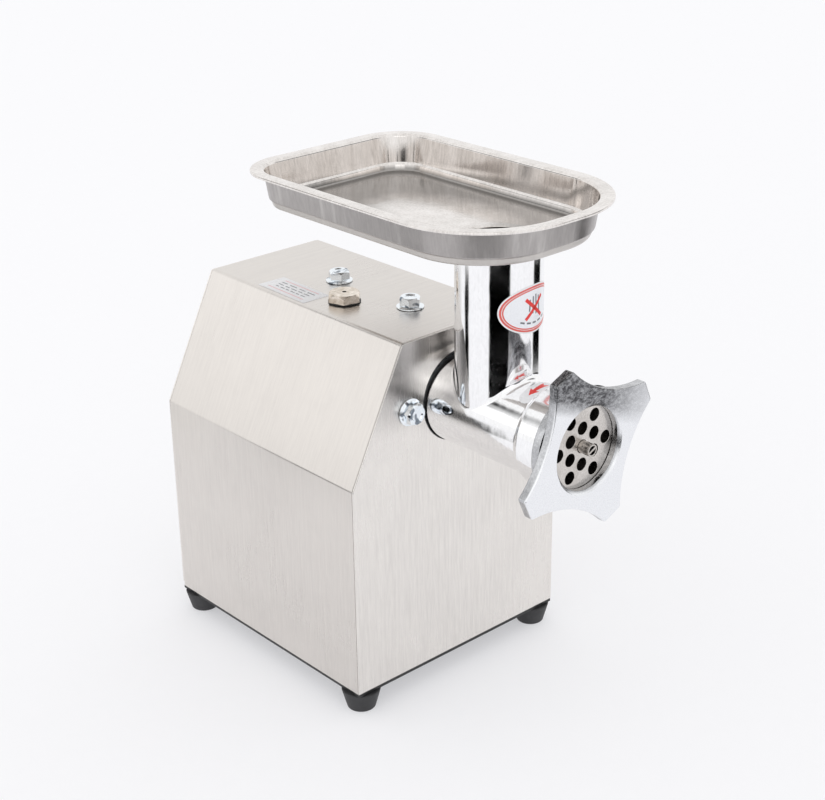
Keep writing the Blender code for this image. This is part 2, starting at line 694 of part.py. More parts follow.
def build_electrics(frame, finishes):
    """Start capacitor with its clip, rocker switch and the mains inlet gland."""
    place = (76 * MM, 30 * MM, 0)
    can = [
        (0, -130 * MM),
        (19 * MM, -130 * MM),
        (20 * MM, -129 * MM),
        (20 * MM, -62 * MM),
        (18 * MM, -60 * MM),
        (0, -60 * MM),
    ]
    piece("start_capacitor", turned(can, SMALL_ROUND), finishes["black_plastic"], frame, place)
    band = ring(20.3 * MM, 21.8 * MM, -100 * MM, -88 * MM)
    clip = piece("capacitor_clip", band, finishes["zinc"], frame, place)
    tab = block((-15 * MM, -place[1] + GAP, -100 * MM), (15 * MM, -place[1] + 2 * MM, -88 * MM))
    add(clip, tab, place)
    stem = block((-3 * MM, -place[1] + 1 * MM, -100 * MM), (3 * MM, -20.6 * MM, -88 * MM))
    add(clip, stem, place)

    half = (SWITCH_WIDTH / 2 - 2 * GAP, SWITCH_TALL / 2 - 2 * GAP)
    bezel = (SWITCH_WIDTH / 2 + 2 * MM, SWITCH_TALL / 2 + 2 * MM)
    spot = (SWITCH_OFFSET, SWITCH_HEIGHT, -REAR_FACE)
    housing = block((-half[0], -half[1], -1 * MM), (half[0], half[1], 22 * MM))
    switch = piece("switch_body", housing, finishes["black_plastic"], frame, spot)
    add(switch, block((-bezel[0], -bezel[1], -2.5 * MM), (bezel[0], bezel[1], -GAP)), spot)
    well = (half[0] - 2 * MM, half[1] - 2 * MM)
    cut(switch, block((-well[0], -well[1], -5 * MM), (well[0], well[1], 9 * MM)), spot)

    gland_end = -(SHELL_DEPTH + REAR_REACH) + REAR_FACE
    gland = [
        (4 * MM, 12 * MM),
        (7.6 * MM, 12 * MM),
        (7.6 * MM, -GAP),
        (12 * MM, -GAP),
        (12 * MM, -6 * MM),
        (10 * MM, -7 * MM),
        (10 * MM, -12 * MM),
        (7 * MM, gland_end),
        (4 * MM, gland_end),
    ]
    inlet = (GLAND_OFFSET, GLAND_HEIGHT, -REAR_FACE)
    piece("cable_gland", turned(gland[::-1], SMALL_ROUND), finishes["black_plastic"], frame, inlet)


def build_switch_rocker(finishes):
    """The rocker lever, whose origin is on its pivot."""
    pivot = frame_at("switch_pivot", SWITCH_HEIGHT, forward=-REAR_FACE)
    pivot.location.x = SWITCH_OFFSET
    reach = SWITCH_TALL / 2 - 3.4 * MM
    outline = [
        (-4 * MM, -reach),
        (1.5 * MM, -reach),
        (3 * MM, 0),
        (6.2 * MM, reach - 1.5 * MM),
        (4 * MM, reach),
        (-3 * MM, 3 * MM),
    ]
    half = SWITCH_WIDTH / 2 - 3.2 * MM
    turn = (math.pi / 2, 0, math.pi / 2)
    piece("switch_rocker", prism(outline, -half, half), finishes["red_plastic"], pivot, rotation=turn)


def build_top_fittings(stand, frame, finishes):
    """Two flange bolts and the vented oil plug on the roof, two flange bolts beside the barrel."""
    shank, head = flange_bolt(17 * MM)
    top = SHELL_HEIGHT + GAP
    first = piece("roof_bolt_front", shank, finishes["zinc"], stand, (0, TOP_BOLT_DEPTHS[0], top))
    add(first, head, (0, TOP_BOLT_DEPTHS[0], top))
    places = {
        "roof_bolt_rear": (stand, (0, TOP_BOLT_DEPTHS[1], top)),
        "front_bolt_left": (frame, (-FRONT_BOLT_SPREAD, FRONT_BOLT_HEIGHT, GAP)),
        "front_bolt_right": (frame, (FRONT_BOLT_SPREAD, FRONT_BOLT_HEIGHT, GAP)),
    }
    for name, (parent, place) in places.items():
        other = copy_of(first.data, name, parent, place)
        add(other, flange_bolt(17 * MM)[1], place)

    place = (PLUG_OFFSET, PLUG_DEPTH, top)
    profile = [
        (0, -14 * MM),
        (8.7 * MM, -14 * MM),
        (8.7 * MM, 0),
        (13.5 * MM, 0),
        (13.5 * MM, 1.5 * MM),
        (0, 1.5 * MM),
    ]
    plug = piece("oil_plug", turned(profile, SMALL_ROUND), finishes["brass"], stand, place)
    add(plug, prism(regular(6, PLUG_FLATS), 1 * MM, 9 * MM), place)
    cut(plug, cylinder(1.6 * MM, 4 * MM, 20 * MM, TINY_ROUND), place)


def build_head(axis, feed, finishes):
    """The cast head: barrel with its spigot and threaded front, and the upright feed tube."""
    cast = finishes["polished_cast"]
    outer = [
        (0, -SPIGOT_LENGTH),
        (BARREL_RADIUS - 1 * MM, -SPIGOT_LENGTH),
        (BARREL_RADIUS, -SPIGOT_LENGTH + 1 * MM),
        (BARREL_RADIUS, COLLAR_START - 4 * MM),
        (COLLAR_RADIUS, COLLAR_START),
        (COLLAR_RADIUS, BARREL_FRONT - 1 * MM),
        (COLLAR_RADIUS - 1 * MM, BARREL_FRONT),
        (0, BARREL_FRONT),
    ]
    head = piece("grinding_head", turned(outer, ROUND), cast, axis)
    standing = (-math.pi / 2, 0, 0)
    foot = (0, 0, FEED_FORWARD)
    tube_top = FEED_TOP - OUTPUT_HEIGHT
    add(head, cylinder(FEED_RADIUS, 0, tube_top, ROUND), foot, standing)
    recess = PLATE_FRONT - PLATE_THICKNESS - GAP
    chamber = recess - KNIFE_THICKNESS - 2 * GAP
    bore = [
        (0, -SPIGOT_LENGTH - 5 * MM),
        (15.3 * MM, -SPIGOT_LENGTH - 5 * MM),
        (15.3 * MM, -10 * MM),
        (BARREL_BORE, -6 * MM),
        (BARREL_BORE, chamber),
        (KNIFE_RADIUS + 1.5 * MM, chamber),
        (KNIFE_RADIUS + 1.5 * MM, recess),
        (PLATE_RADIUS + 0.4 * MM, recess),
        (PLATE_RADIUS + 0.4 * MM, BARREL_FRONT + 5 * MM),
        (0, BARREL_FRONT + 5 * MM),
    ]
    cut(head, turned(bore, ROUND), (0, 0, 0))
    seat = tube_top - TRAY_NECK_LENGTH - 4 * MM
    throat = [
        (0, BARREL_BORE / 2),
        (FEED_BORE - 2 * MM, BARREL_BORE / 2),
        (FEED_BORE - 2 * MM, seat),
        (FEED_BORE, seat),
        (FEED_BORE, tube_top + 5 * MM),
        (0, tube_top + 5 * MM),
    ]
    cut(head, turned(throat, ROUND), foot, standing)
    key = block((-2.4 * MM, -36 * MM, recess - 1 * MM), (2.4 * MM, -33 * MM, BARREL_FRONT - 0.5 * MM))
    add(head, key)


def helix_flight(inner, outer, thickness, low, high, turns, steps_per_turn):
    """A screw flight of rectangular section, closed at both ends."""
    bm = bmesh.new()
    steps = int(turns * steps_per_turn)
    rows = []
    for step in range(steps + 1):
        angle = math.tau * turns * step / steps
        height = low + (high - low) * step / steps
        corners = ((inner, -1), (outer, -0.7), (outer, 0.7), (inner, 1))
        rows.append(
            [bm.verts.new((*polar(radius, angle), height + side * thickness / 2)) for radius, side in corners]
        )
    for row, following in zip(rows, rows[1:]):
        for index in range(4):
            after = (index + 1) % 4
            bm.faces.new((row[index], row[after], following[after], following[index]))
    bm.faces.new(rows[0])
    bm.faces.new(rows[-1])
    return bm


def build_auger(axis, finishes):
    """The feed screw with its square tang, its square for the knife and its centre pin."""
    cast = finishes["tinned_cast"]
    knife_back = PLATE_FRONT - PLATE_THICKNESS - GAP - KNIFE_THICKNESS
    neck = knife_back - 2 * MM
    core = [
        (0, -SPIGOT_LENGTH - 1 * MM),
        (14.9 * MM, -SPIGOT_LENGTH - 1 * MM),
        (14.9 * MM, -10 * MM),
        (12 * MM, -7 * MM),
        (10 * MM, 20 * MM),
        (11.5 * MM, neck),
        (0, neck),
    ]
    auger = piece("auger", turned(core, SMALL_ROUND), cast, axis)
    flight = helix_flight(9 * MM, AUGER_RADIUS, 4.5 * MM, -2 * MM, neck - 3 * MM, 3.2, SMALL_ROUND)
    add(auger, flight)
    half = SQUARE_TANG / 2
    add(auger, block((-half, -half, -48 * MM), (half, half, -SPIGOT_LENGTH)))
    half = SQUARE_FRONT / 2
    square_front = PLATE_FRONT - PLATE_THICKNESS - 2 * GAP
    add(auger, block((-half, -half, neck - 1 * MM), (half, half, square_front)))
    add(auger, cylinder(4.7 * MM, neck, AUGER_TIP, SMALL_ROUND))


def build_knife(axis, finishes):
    """The four-armed knife, which sits on the auger's front square against the plate."""
    front = PLATE_FRONT - PLATE_THICKNESS - GAP
    back = front - KNIFE_THICKNESS + GAP
    outline = []
    root = 12 * MM
    for arm in range(4):
        middle = math.tau * arm / 4
        outline.append(polar(root, middle - math.radians(32)))
        outline.append(polar(KNIFE_RADIUS, middle - math.radians(13)))
        outline.append(polar(KNIFE_RADIUS, middle + math.radians(4)))
        outline.append(polar(root, middle + math.radians(20)))
    knife = piece("cross_knife", prism(outline, back, front), finishes["tool_steel"], axis)
    half = SQUARE_FRONT / 2 + GAP
    cut(knife, block((-half, -half, back - 5 * MM), (half, half, front + 5 * MM)))


def plate_holes():
    """Hole centres on a triangular pattern: an inner ring of six and an outer ring of six."""
    inner = [polar(PLATE_HOLE_PITCH, math.radians(30 + 60 * step)) for step in range(6)]
    outer = [polar(PLATE_HOLE_PITCH * math.sqrt(3), math.radians(60 * step)) for step in range(6)]
    return inner + outer


def build_plate(axis, finishes):
    """The perforated cutting plate, with a notch over the barrel's key."""
    back = PLATE_FRONT - PLATE_THICKNESS
    disc = cylinder(PLATE_RADIUS, back, PLATE_FRONT, ROUND)
    plate = piece("cutting_plate", disc, finishes["tool_steel"], axis)
    places = [(x, y, 0) for x, y in plate_holes()]
    outline = regular(PLATE_HOLE_ROUND, 2 * PLATE_HOLE_RADIUS, math.radians(10))
    cut(plate, repeated(lambda: prism(outline, 100 * MM, 140 * MM), places))
    cut(plate, cylinder(5 * MM, 100 * MM, 140 * MM, SMALL_ROUND))
    notch = block((-2.8 * MM, -40 * MM, 100 * MM), (2.8 * MM, -32.6 * MM, 140 * MM))
    cut(plate, notch)


def star_outline():
    """Four flat-ended lobes joined by hollow sides."""
    half = math.asin(RING_TIP_WIDTH / 2 / RING_TIP_RADIUS)
    outline = []
    for lobe in range(4):
        middle = RING_TURN + math.tau * lobe / 4
        start = Vector(polar(RING_TIP_RADIUS, middle + half))
        end = Vector(polar(RING_TIP_RADIUS, middle + math.pi / 2 - half))
        waist = Vector(polar(RING_WAIST_RADIUS, middle + math.pi / 4))
        outline.append(polar(RING_TIP_RADIUS + 1 * MM, middle))
        outline += arc_through(start, waist, end, TINY_ROUND)
    return outline


def arc_through(start, middle, end, steps):
    """Points along the circle through three points, both ends included."""
    chord = (end - start).length
    centre_line = (start + end) / 2
    sag = (middle - centre_line).length
    radius = (chord * chord / 4 + sag * sag) / (2 * sag)
    centre = middle + (centre_line - middle).normalized() * radius
    first = start - centre
    sweep = (end - centre).angle_signed(first)
    angle = math.atan2(first.y, first.x)
    points = []
    for step in range(steps + 1):
        x, y = polar(radius, angle + sweep * step / steps)
        points.append((centre.x + x, centre.y + y))
    return points


def build_ring_nut(axis, finishes):
    """The hand nut: a lobed disc on a short threaded skirt, open in the middle."""
    wing_back = RING_FRONT - 7.8 * MM
    nut = piece("ring_nut", prism(star_outline(), wing_back, RING_FRONT), finishes["cast_aluminium"], axis)
    skirt_radius = COLLAR_RADIUS + 3.6 * MM
    add(nut, cylinder(skirt_radius, RING_BACK, wing_back + 1 * MM, ROUND))
    bore = [
        (0, RING_BACK - 5 * MM),
        (COLLAR_RADIUS + GAP, RING_BACK - 5 * MM),
        (COLLAR_RADIUS + GAP, RING_FRONT - RING_WEB),
        (RING_OPENING, RING_FRONT - RING_WEB),
        (RING_OPENING, RING_FRONT - 2.5 * MM),
        (RING_OPENING + 2.5 * MM, RING_FRONT),
        (RING_OPENING + 2.5 * MM, RING_FRONT + 5 * MM),
        (0, RING_FRONT + 5 * MM),
    ]
    cut(nut, turned(bore, ROUND))


def tray_outline(inset, steps=7):
    """The tray's plan, drawn in by an inset: two wide front corners, two smaller rear ones."""
    side = TRAY_HALF_WIDTH - inset
    front = -(TRAY_FRONT - FEED_FORWARD) + inset
    back = TRAY_BACK + FEED_FORWARD - inset
    corners = [(-side, front), (side, front), (side, back), (-side, back)]
    wide = TRAY_FRONT_RADIUS - inset
    small = TRAY_BACK_RADIUS - inset
    return rounded(corners, [wide, wide, small, small], steps)


def build_tray(feed, finishes):
    """The pressed tray: rolled rim, stepped wall, flat floor and a neck that enters the tube."""
    rim = TRAY_RIM_HEIGHT - TRAY_SHEET
    lip = TRAY_SHEET - TRAY_RIM
    levels = (
        (lip, -TRAY_LIP),
        (lip, 0),
        (-TRAY_SHEET, 0),
        (TRAY_DRAFT, -TRAY_STEP_DEPTH),
        (TRAY_DRAFT + TRAY_STEP, -TRAY_STEP_DEPTH - 1 * MM),
        (TRAY_DRAFT + 2 * TRAY_STEP, -TRAY_DEPTH),
    )
    bm = bmesh.new()
    rows = []
    for inset, drop in levels:
        rows.append([bm.verts.new((x, y, rim + drop)) for x, y in tray_outline(inset)])
    neck = FEED_BORE - GAP
    for level in (rim - TRAY_DEPTH, rim - TRAY_DEPTH - TRAY_NECK_LENGTH):
        row = []
        for x, y in tray_outline(levels[-1][0]):
            across, along = polar(neck, math.atan2(y, x))
            row.append(bm.verts.new((across, along, level)))
        rows.append(row)
    for row, following in zip(rows, rows[1:]):
        for index in range(len(row)):
            after = (index + 1) % len(row)
            bm.faces.new((row[index], row[after], following[after], following[index]))
    tray = piece("hopper_tray", bm, finishes["tray_steel"], feed)
    sheet = tray.modifiers.new("sheet", "SOLIDIFY")
    sheet.thickness = TRAY_SHEET
    sheet.offset = 1
    sheet.use_even_offset = True


def weld_seams():
    """Closes the hairline seams that a chain of Booleans can leave."""
    for obj in bpy.data.objects:
        if any(modifier.type == "BOOLEAN" for modifier in obj.modifiers):
            weld = obj.modifiers.new("weld", "WELD")
            weld.merge_threshold = WELD


def build():
    clear_scene()
    finishes = {
        "brushed_steel": material("brushed_steel", (0.66, 0.65, 0.63), 0.38, 1),
        "tray_steel": material("tray_steel", (0.62, 0.61, 0.59), 0.25, 1),
        "polished_cast": material("polished_cast", (0.82, 0.82, 0.83), 0.08, 1),
        "cast_aluminium": material("cast_aluminium", (0.72, 0.73, 0.74), 0.3, 1),
        "tinned_cast": material("tinned_cast", (0.6, 0.6, 0.6), 0.35, 1),
        "tool_steel": material("tool_steel", (0.62, 0.6, 0.58), 0.3, 1),
        "cast_iron": material("cast_iron", (0.2, 0.21, 0.22), 0.6, 0.6),
        "gear_steel": material("gear_steel", (0.5, 0.5, 0.52), 0.35, 1),
        "bearing_steel": material("bearing_steel", (0.6, 0.6, 0.62), 0.25, 1),
        "zinc": material("zinc", (0.7, 0.76, 0.8), 0.25, 1),
        "brass": material("brass", (0.62, 0.54, 0.42), 0.3, 1),
        "copper": material("copper", (0.6, 0.33, 0.2), 0.4, 1),
        "black_steel": material("black_steel", (0.03, 0.03, 0.03), 0.5, 0.3),
        "rubber": material("rubber", (0.03, 0.03, 0.03), 0.7, 0),
        "black_plastic": material("black_plastic", (0.04, 0.04, 0.04), 0.4, 0),
        "red_plastic": material("red_plastic", (0.55, 0.03, 0.02), 0.3, 0),
    }
    cabinet = frame_at("cabinet", 0, FORWARD)
    stand = frame_at("stand", 0)
    output_axis = frame_at("output_axis", OUTPUT_HEIGHT, FORWARD)
    lay_axis = frame_at("lay_axis", LAY_HEIGHT, FORWARD)
    motor_axis = frame_at("motor_axis", MOTOR_HEIGHT, FORWARD)
    feed = frame_at("feed_axis", 0, forward=FEED_FORWARD)

    base = build_cabinet(cabinet, stand, finishes)
    build_feet(stand, base, finishes)
    build_gearbox(cabinet, finishes)
    build_gearbox_feet_bolts(stand, base, finishes)
    build_output_drive(output_axis, finishes)
    build_layshaft(lay_axis, finishes)
    build_motor(motor_axis, finishes)
    build_electrics(cabinet, finishes)
    build_switch_rocker(finishes)
    build_top_fittings(stand, cabinet, finishes)
    build_head(output_axis, feed, finishes)
    build_auger(output_axis, finishes)
    build_knife(output_axis, finishes)
    build_plate(output_axis, finishes)
    build_ring_nut(output_axis, finishes)
    build_tray(feed, finishes)
    weld_seams()


build()
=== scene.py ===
"""Looks of the electric meat grinder: finer shells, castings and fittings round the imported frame."""

import json
import math

import bmesh
import bpy
from mathutils import Matrix, Vector


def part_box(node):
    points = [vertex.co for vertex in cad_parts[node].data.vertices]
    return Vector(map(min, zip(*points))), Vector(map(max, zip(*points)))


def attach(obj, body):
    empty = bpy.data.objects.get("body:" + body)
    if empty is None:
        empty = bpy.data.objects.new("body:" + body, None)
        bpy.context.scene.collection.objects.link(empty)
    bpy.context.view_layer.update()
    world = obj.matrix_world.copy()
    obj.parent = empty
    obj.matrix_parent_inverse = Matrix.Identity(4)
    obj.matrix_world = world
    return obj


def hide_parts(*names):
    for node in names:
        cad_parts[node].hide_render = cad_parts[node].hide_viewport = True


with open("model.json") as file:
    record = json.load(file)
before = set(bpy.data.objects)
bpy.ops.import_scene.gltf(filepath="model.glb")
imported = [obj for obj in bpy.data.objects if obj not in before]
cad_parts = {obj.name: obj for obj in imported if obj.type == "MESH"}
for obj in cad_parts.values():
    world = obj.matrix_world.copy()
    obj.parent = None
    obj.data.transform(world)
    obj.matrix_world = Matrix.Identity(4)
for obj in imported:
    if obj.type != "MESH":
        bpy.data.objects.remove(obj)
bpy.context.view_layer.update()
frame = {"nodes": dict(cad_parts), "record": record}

MM = 0.001
ROUND = 96
SMALL_ROUND = 48

# Camera: where it stands in the frame, and which way it looks, in degrees.
CAMERA_PLACE = (-0.7922, -0.8910, 0.7395)
CAMERA_AZIMUTH = -41.825
CAMERA_ELEVATION = 23.564
CAMERA_ROLL = -0.857
CAMERA_LENS = 71.46

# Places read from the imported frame.
WRAP_LOW, WRAP_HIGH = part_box("housing_wrap")
REAR_LOW, REAR_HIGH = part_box("rear_panel")
HEAD_LOW, HEAD_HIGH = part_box("grinding_head")
RING_LOW, RING_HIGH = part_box("ring_nut")
PLATE_LOW, PLATE_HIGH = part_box("cutting_plate")
TRAY_LOW, TRAY_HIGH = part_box("hopper_tray")
FRONT_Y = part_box("front_panel")[0].y
EDGE_Z = WRAP_LOW.z
AXIS_Z = (RING_LOW.z + RING_HIGH.z) / 2

# Cabinet.
HALF_WIDTH = WRAP_HIGH.x
SHELL_HEIGHT = WRAP_HIGH.z - EDGE_Z
TOP_HALF_WIDTH = 56.5 * MM
KINK_HEIGHT = 175.7 * MM
SHEET = 1.5 * MM
BEND_RADIUS = 4 * MM
REAR_FLANGE = 12 * MM
GASKET_RADIUS = 40.5 * MM
GASKET_DEPTH = 3.2 * MM
LOUVRE_LENGTH = 44 * MM
LOUVRE_WIDTH = 4 * MM
LOUVRE_HEIGHTS = range(120, 211, 22)
SWITCH_HOLE = (20 * MM, 28 * MM)
AXIS_HEIGHT = AXIS_Z - EDGE_Z

# Head, ring and plate. Lengths run forward from the front panel.
BARREL_RADIUS = 34.9 * MM
BARREL_HOLE = BARREL_RADIUS + 1.9 * MM
BARREL_HOLE_RISE = 1.5 * MM
COLLAR_RADIUS = HEAD_HIGH.x
COLLAR_START = 98 * MM
HEAD_FRONT = FRONT_Y - HEAD_LOW.y
HEAD_REAR = FRONT_Y - HEAD_HIGH.y
FEED_FORWARD = 42 * MM
FEED_RADIUS = 32.4 * MM
FEED_BORE = 28.5 * MM
THROAT_RADIUS = 26.5 * MM
BARREL_BORE = 27 * MM
SPIGOT_BORE = 15.3 * MM
KNIFE_ROOM = 31.5 * MM
FEED_OPENING = 29 * MM
KEY_WIDTH = 4.8 * MM
FILLET = 5 * MM
PLATE_FRONT = FRONT_Y - PLATE_LOW.y
PLATE_BACK = FRONT_Y - PLATE_HIGH.y
PLATE_RADIUS = (PLATE_HIGH.x - PLATE_LOW.x) / 2
PLATE_HOLE = 4.95 * MM
PLATE_PITCH = 14.1 * MM
RING_FRONT = FRONT_Y - RING_LOW.y
RING_BACK = FRONT_Y - RING_HIGH.y
RING_OPENING = 31.9 * MM
RING_CHAMFER = 2.5 * MM
RING_WING = 7.8 * MM
RING_TIP = 68 * MM
RING_WAIST = 45 * MM
RING_TIP_WIDTH = 17.4 * MM
RING_TURN = math.radians(24)
RING_SHOULDER = RING_WAIST + 6 * MM
RING_SPREAD = math.radians(24)
AUGER_TIP = FRONT_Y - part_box("auger")[0].y
PIN_RADIUS = 4.7 * MM

# Tray.
TRAY_HALF = 78.5 * MM
TRAY_FRONT = 103.4 * MM
TRAY_BACK = 149.3 * MM
TRAY_WIDE_RADIUS = 66 * MM
TRAY_SMALL_RADIUS = 31 * MM
TRAY_SHEET = 1 * MM
TRAY_DEPTH = 28.9 * MM
TRAY_NECK = 27.2 * MM
TRAY_FLOOR_INSET = 16 * MM
TRAY_STEP_Z = TRAY_HIGH.z - 23.4 * MM

FOOT_TAPER = 4.6 * MM
BOLT_HEIGHT = 9.5 * MM
PLUG_HEIGHT = 9 * MM

# Stickers: heights above the surface below, and where they lie.
STICKER_LIFT = 0.12 * MM
PRINT_LIFT = 0.03 * MM
BADGE_Z = 332 * MM
ARROW_FORWARD = 87.5 * MM
LABEL_X = -40.5 * MM
LABEL_BACK = 148.5 * MM

# Matrices: Z runs forward in the first three, and up in the last two.
FORWARD = Matrix.Rotation(math.pi / 2, 4, "X")
TO_AXIS = Matrix.Translation((0, FRONT_Y, AXIS_Z)) @ FORWARD
TO_CABINET = Matrix.Translation((0, FRONT_Y, EDGE_Z)) @ FORWARD
TO_FEED = Matrix.Translation((0, FRONT_Y - FEED_FORWARD, 0))
TO_TUBE = Matrix.Translation((0, 0, AXIS_Z)) @ TO_FEED


# Outlines and meshes ------------------------------------------------------------------------


def polar(radius, angle):
    return (radius * math.cos(angle), radius * math.sin(angle))


def circle(radius, count, centre=(0, 0)):
    steps = [polar(radius, math.tau * step / count) for step in range(count)]
    return [(centre[0] + x, centre[1] + y) for x, y in steps]


def rectangle(low, high):
    return [(low[0], low[1]), (high[0], low[1]), (high[0], high[1]), (low[0], high[1])]


def in_mm(points):
    return [(x * MM, y * MM) for x, y in points]


def quarter_round(radius, steps=4):
    """Distances in from two square faces, along the rounded edge between them."""
    turns = [math.pi / 2 * step / steps for step in range(steps + 1)]
    return [(radius * (1 - math.sin(turn)), radius * (1 - math.cos(turn))) for turn in turns]


def soften(points, radii, steps=4, closed=True):
    """Rounds the corners of an outline by arcs, each no wider than its sides allow."""
    if not hasattr(radii, "__len__"):
        radii = [radii] * len(points)
    made = []
    count = len(points)
    for index, radius in enumerate(radii):
        corner = Vector(points[index])
        at_end = not closed and index in (0, count - 1)
        if radius <= 0 or at_end:
            made.append(tuple(corner))
            continue
        before = Vector(points[index - 1]) - corner
        after = Vector(points[(index + 1) % count]) - corner
        half = before.angle(after) / 2
        if half > math.radians(89.5):
            made.append(tuple(corner))
            continue
        reach = min(radius / math.tan(half), before.length * 0.49, after.length * 0.49)
        radius = reach * math.tan(half)
        before.normalize()
        after.normalize()
        centre = corner + (before + after).normalized() * radius / math.sin(half)
        first = corner + before * reach - centre
        last = corner + after * reach - centre
        sweep = last.angle_signed(first)
        start = math.atan2(first.y, first.x)
        for step in range(steps + 1):
            x, y = polar(radius, start + sweep * step / steps)
            made.append((centre.x + x, centre.y + y))
    return made


def offset_outline(points, distance):
    """Moves each point of a closed outline inwards, square to the outline there."""
    moved = []
    for index, point in enumerate(points):
        before = Vector(points[index - 1])
        after = Vector(points[(index + 1) % len(points)])
        along = (after - before).normalized()
        moved.append((point[0] - along.y * distance, point[1] + along.x * distance))
    return moved


def arc_through(start, middle, end, steps):
    """Points along the circle through three points, the first left out."""
    start, middle, end = Vector(start), Vector(middle), Vector(end)
    chord_middle = (start + end) / 2
    half_chord = (end - start).length / 2
    sag = (middle - chord_middle).length
    radius = (half_chord**2 + sag**2) / (2 * sag)
    centre = middle + (chord_middle - middle).normalized() * radius
    first = start - centre
    sweep = (end - centre).angle_signed(first)
    angle = math.atan2(first.y, first.x)
    points = []
    for step in range(1, steps + 1):
        x, y = polar(radius, angle + sweep * step / steps)
        points.append((centre.x + x, centre.y + y))
    return points


def skin(rows, closed_rows=True, closed_loop=False, caps=False):
    """Quads between rows of points. Each row closes on itself, and the last can meet the first."""
    bm = bmesh.new()
    made = [[bm.verts.new(point) for point in row] for row in rows]
    pairs = list(zip(made, made[1:]))
    if closed_loop:
        pairs.append((made[-1], made[0]))
    for row, following in pairs:
        count = len(row)
        for index in range(count if closed_rows else count - 1):
            after = (index + 1) % count
            bm.faces.new((row[index], row[after], following[after], following[index]))
    if caps:
        bm.faces.new(made[0])
        bm.faces.new(made[-1])
    return bm


def turned(profile, segments=ROUND):
    """Turns (radius, height) points about Z. Points on the axis close the ends."""
    bm = bmesh.new()
    on_axis = 1e-7
    rings = []
    for radius, height in profile:
        if radius < on_axis:
            rings.append([bm.verts.new((0, 0, height))])
            continue
        rings.append([bm.verts.new((x, y, height)) for x, y in circle(radius, segments)])
    pairs = list(zip(rings, rings[1:]))
    if len(rings[0]) > 1:
        pairs.append((rings[-1], rings[0]))
    for ring, following in pairs:
        for index in range(segments):
            after = (index + 1) % segments
            if len(ring) == 1 and len(following) == 1:
                break
            corners = [ring[index % len(ring)], ring[after % len(ring)]]
            corners += [following[after % len(following)], following[index % len(following)]]
            bm.faces.new(list(dict.fromkeys(corners)))
    return bm


def prism(outline, low, high):
    bm = bmesh.new()
    bottom = [bm.verts.new((x, y, low)) for x, y in outline]
    top = [bm.verts.new((x, y, high)) for x, y in outline]
    bm.faces.new(bottom)
    bm.faces.new(top)
    for index in range(len(outline)):
        after = (index + 1) % len(outline)
        bm.faces.new((bottom[index], bottom[after], top[after], top[index]))
    return bm


def plate_mesh(outlines, low, high, bevel):
    """A flat plate with holes and rounded edges, from a filled two-dimensional curve."""
    curve = bpy.data.curves.new("plate", "CURVE")
    curve.dimensions = "2D"
    curve.fill_mode = "BOTH"
    curve.extrude = (high - low) / 2 - bevel
    curve.bevel_depth = bevel
    curve.bevel_resolution = 2
    curve.offset = -bevel
    for outline in outlines:
        spline = curve.splines.new("POLY")
        spline.points.add(len(outline) - 1)
        for point, (x, y) in zip(spline.points, outline):
            point.co = (x, y, 0, 1)
        spline.use_cyclic_u = True
    holder = placed("plate", curve)
    graph = bpy.context.evaluated_depsgraph_get()
    mesh = bpy.data.meshes.new_from_object(holder.evaluated_get(graph))
    bpy.data.objects.remove(holder)
    bm = bmesh.new()
    bm.from_mesh(mesh)
    bpy.data.meshes.remove(mesh)
    bmesh.ops.remove_doubles(bm, verts=bm.verts, dist=1e-6)
    bmesh.ops.translate(bm, verts=bm.verts, vec=(0, 0, (low + high) / 2))
    return bm


def joined(shapes):
    """One bmesh holding several."""
    together = bmesh.new()
    for bm in shapes:
        mesh = bpy.data.meshes.new("part")
        bm.to_mesh(mesh)
        bm.free()
        together.from_mesh(mesh)
        bpy.data.meshes.remove(mesh)
    return together


def placed(name, data):
    """A new object in the scene."""
    obj = bpy.data.objects.new(name, data)
    bpy.context.scene.collection.objects.link(obj)
    return obj


def spin(angle):
    return Matrix.Rotation(angle, 4, "Z")


def middle_of(name, **known):
    """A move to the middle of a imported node's box, or to a known place along an axis."""
    low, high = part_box(name)
    middle = (low + high) / 2
    for axis, place in known.items():
        setattr(middle, axis, place)
    return Matrix.Translation(middle)


def mesh_of(name, bm, place=None):
    """Turns a bmesh into a mesh at its place, with its faces outward."""
    bmesh.ops.transform(bm, matrix=place or Matrix(), verts=bm.verts)
    bmesh.ops.recalc_face_normals(bm, faces=bm.faces)
    mesh = bpy.data.meshes.new(name)
    bm.to_mesh(mesh)
    bm.free()
    return mesh


def piece(name, bm, body, slot, place=None, replaces=(), angle=30, finish=None):
    """Makes a shown piece that rides on a body, in its slot's finish or in another one."""
    mesh = mesh_of(name, bm, place)
    mesh.materials.append(finish or FINISHES[slot])
    mesh.shade_smooth()
    mesh.set_sharp_from_angle(angle=math.radians(angle))
    obj = placed(name, mesh)
    weights = obj.modifiers.new("weights", "WEIGHTED_NORMAL")
    weights.keep_sharp = True
    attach(obj, body)
    if replaces:
        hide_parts(*replaces)
    return obj


def cut(obj, bm, place=None):
    """Cuts a shape out of a piece and keeps the result as its mesh."""
    cutter = placed("cutter", mesh_of("cutter", bm, place))
    boolean = obj.modifiers.new("cut", "BOOLEAN")
    boolean.operation = "DIFFERENCE"
    boolean.solver = "EXACT"
    boolean.object = cutter
    obj.modifiers.move(len(obj.modifiers) - 1, 0)
    weights = obj.modifiers["weights"]
    weights.show_viewport = False
    graph = bpy.context.evaluated_depsgraph_get()
    result = bpy.data.meshes.new_from_object(obj.evaluated_get(graph))
    obj.modifiers.remove(boolean)
    weights.show_viewport = True
    obj.data = result
    bpy.data.objects.remove(cutter)
    result.shade_smooth()
    result.set_sharp_from_angle(angle=math.radians(30))


# Finishes -----------------------------------------------------------------------------------


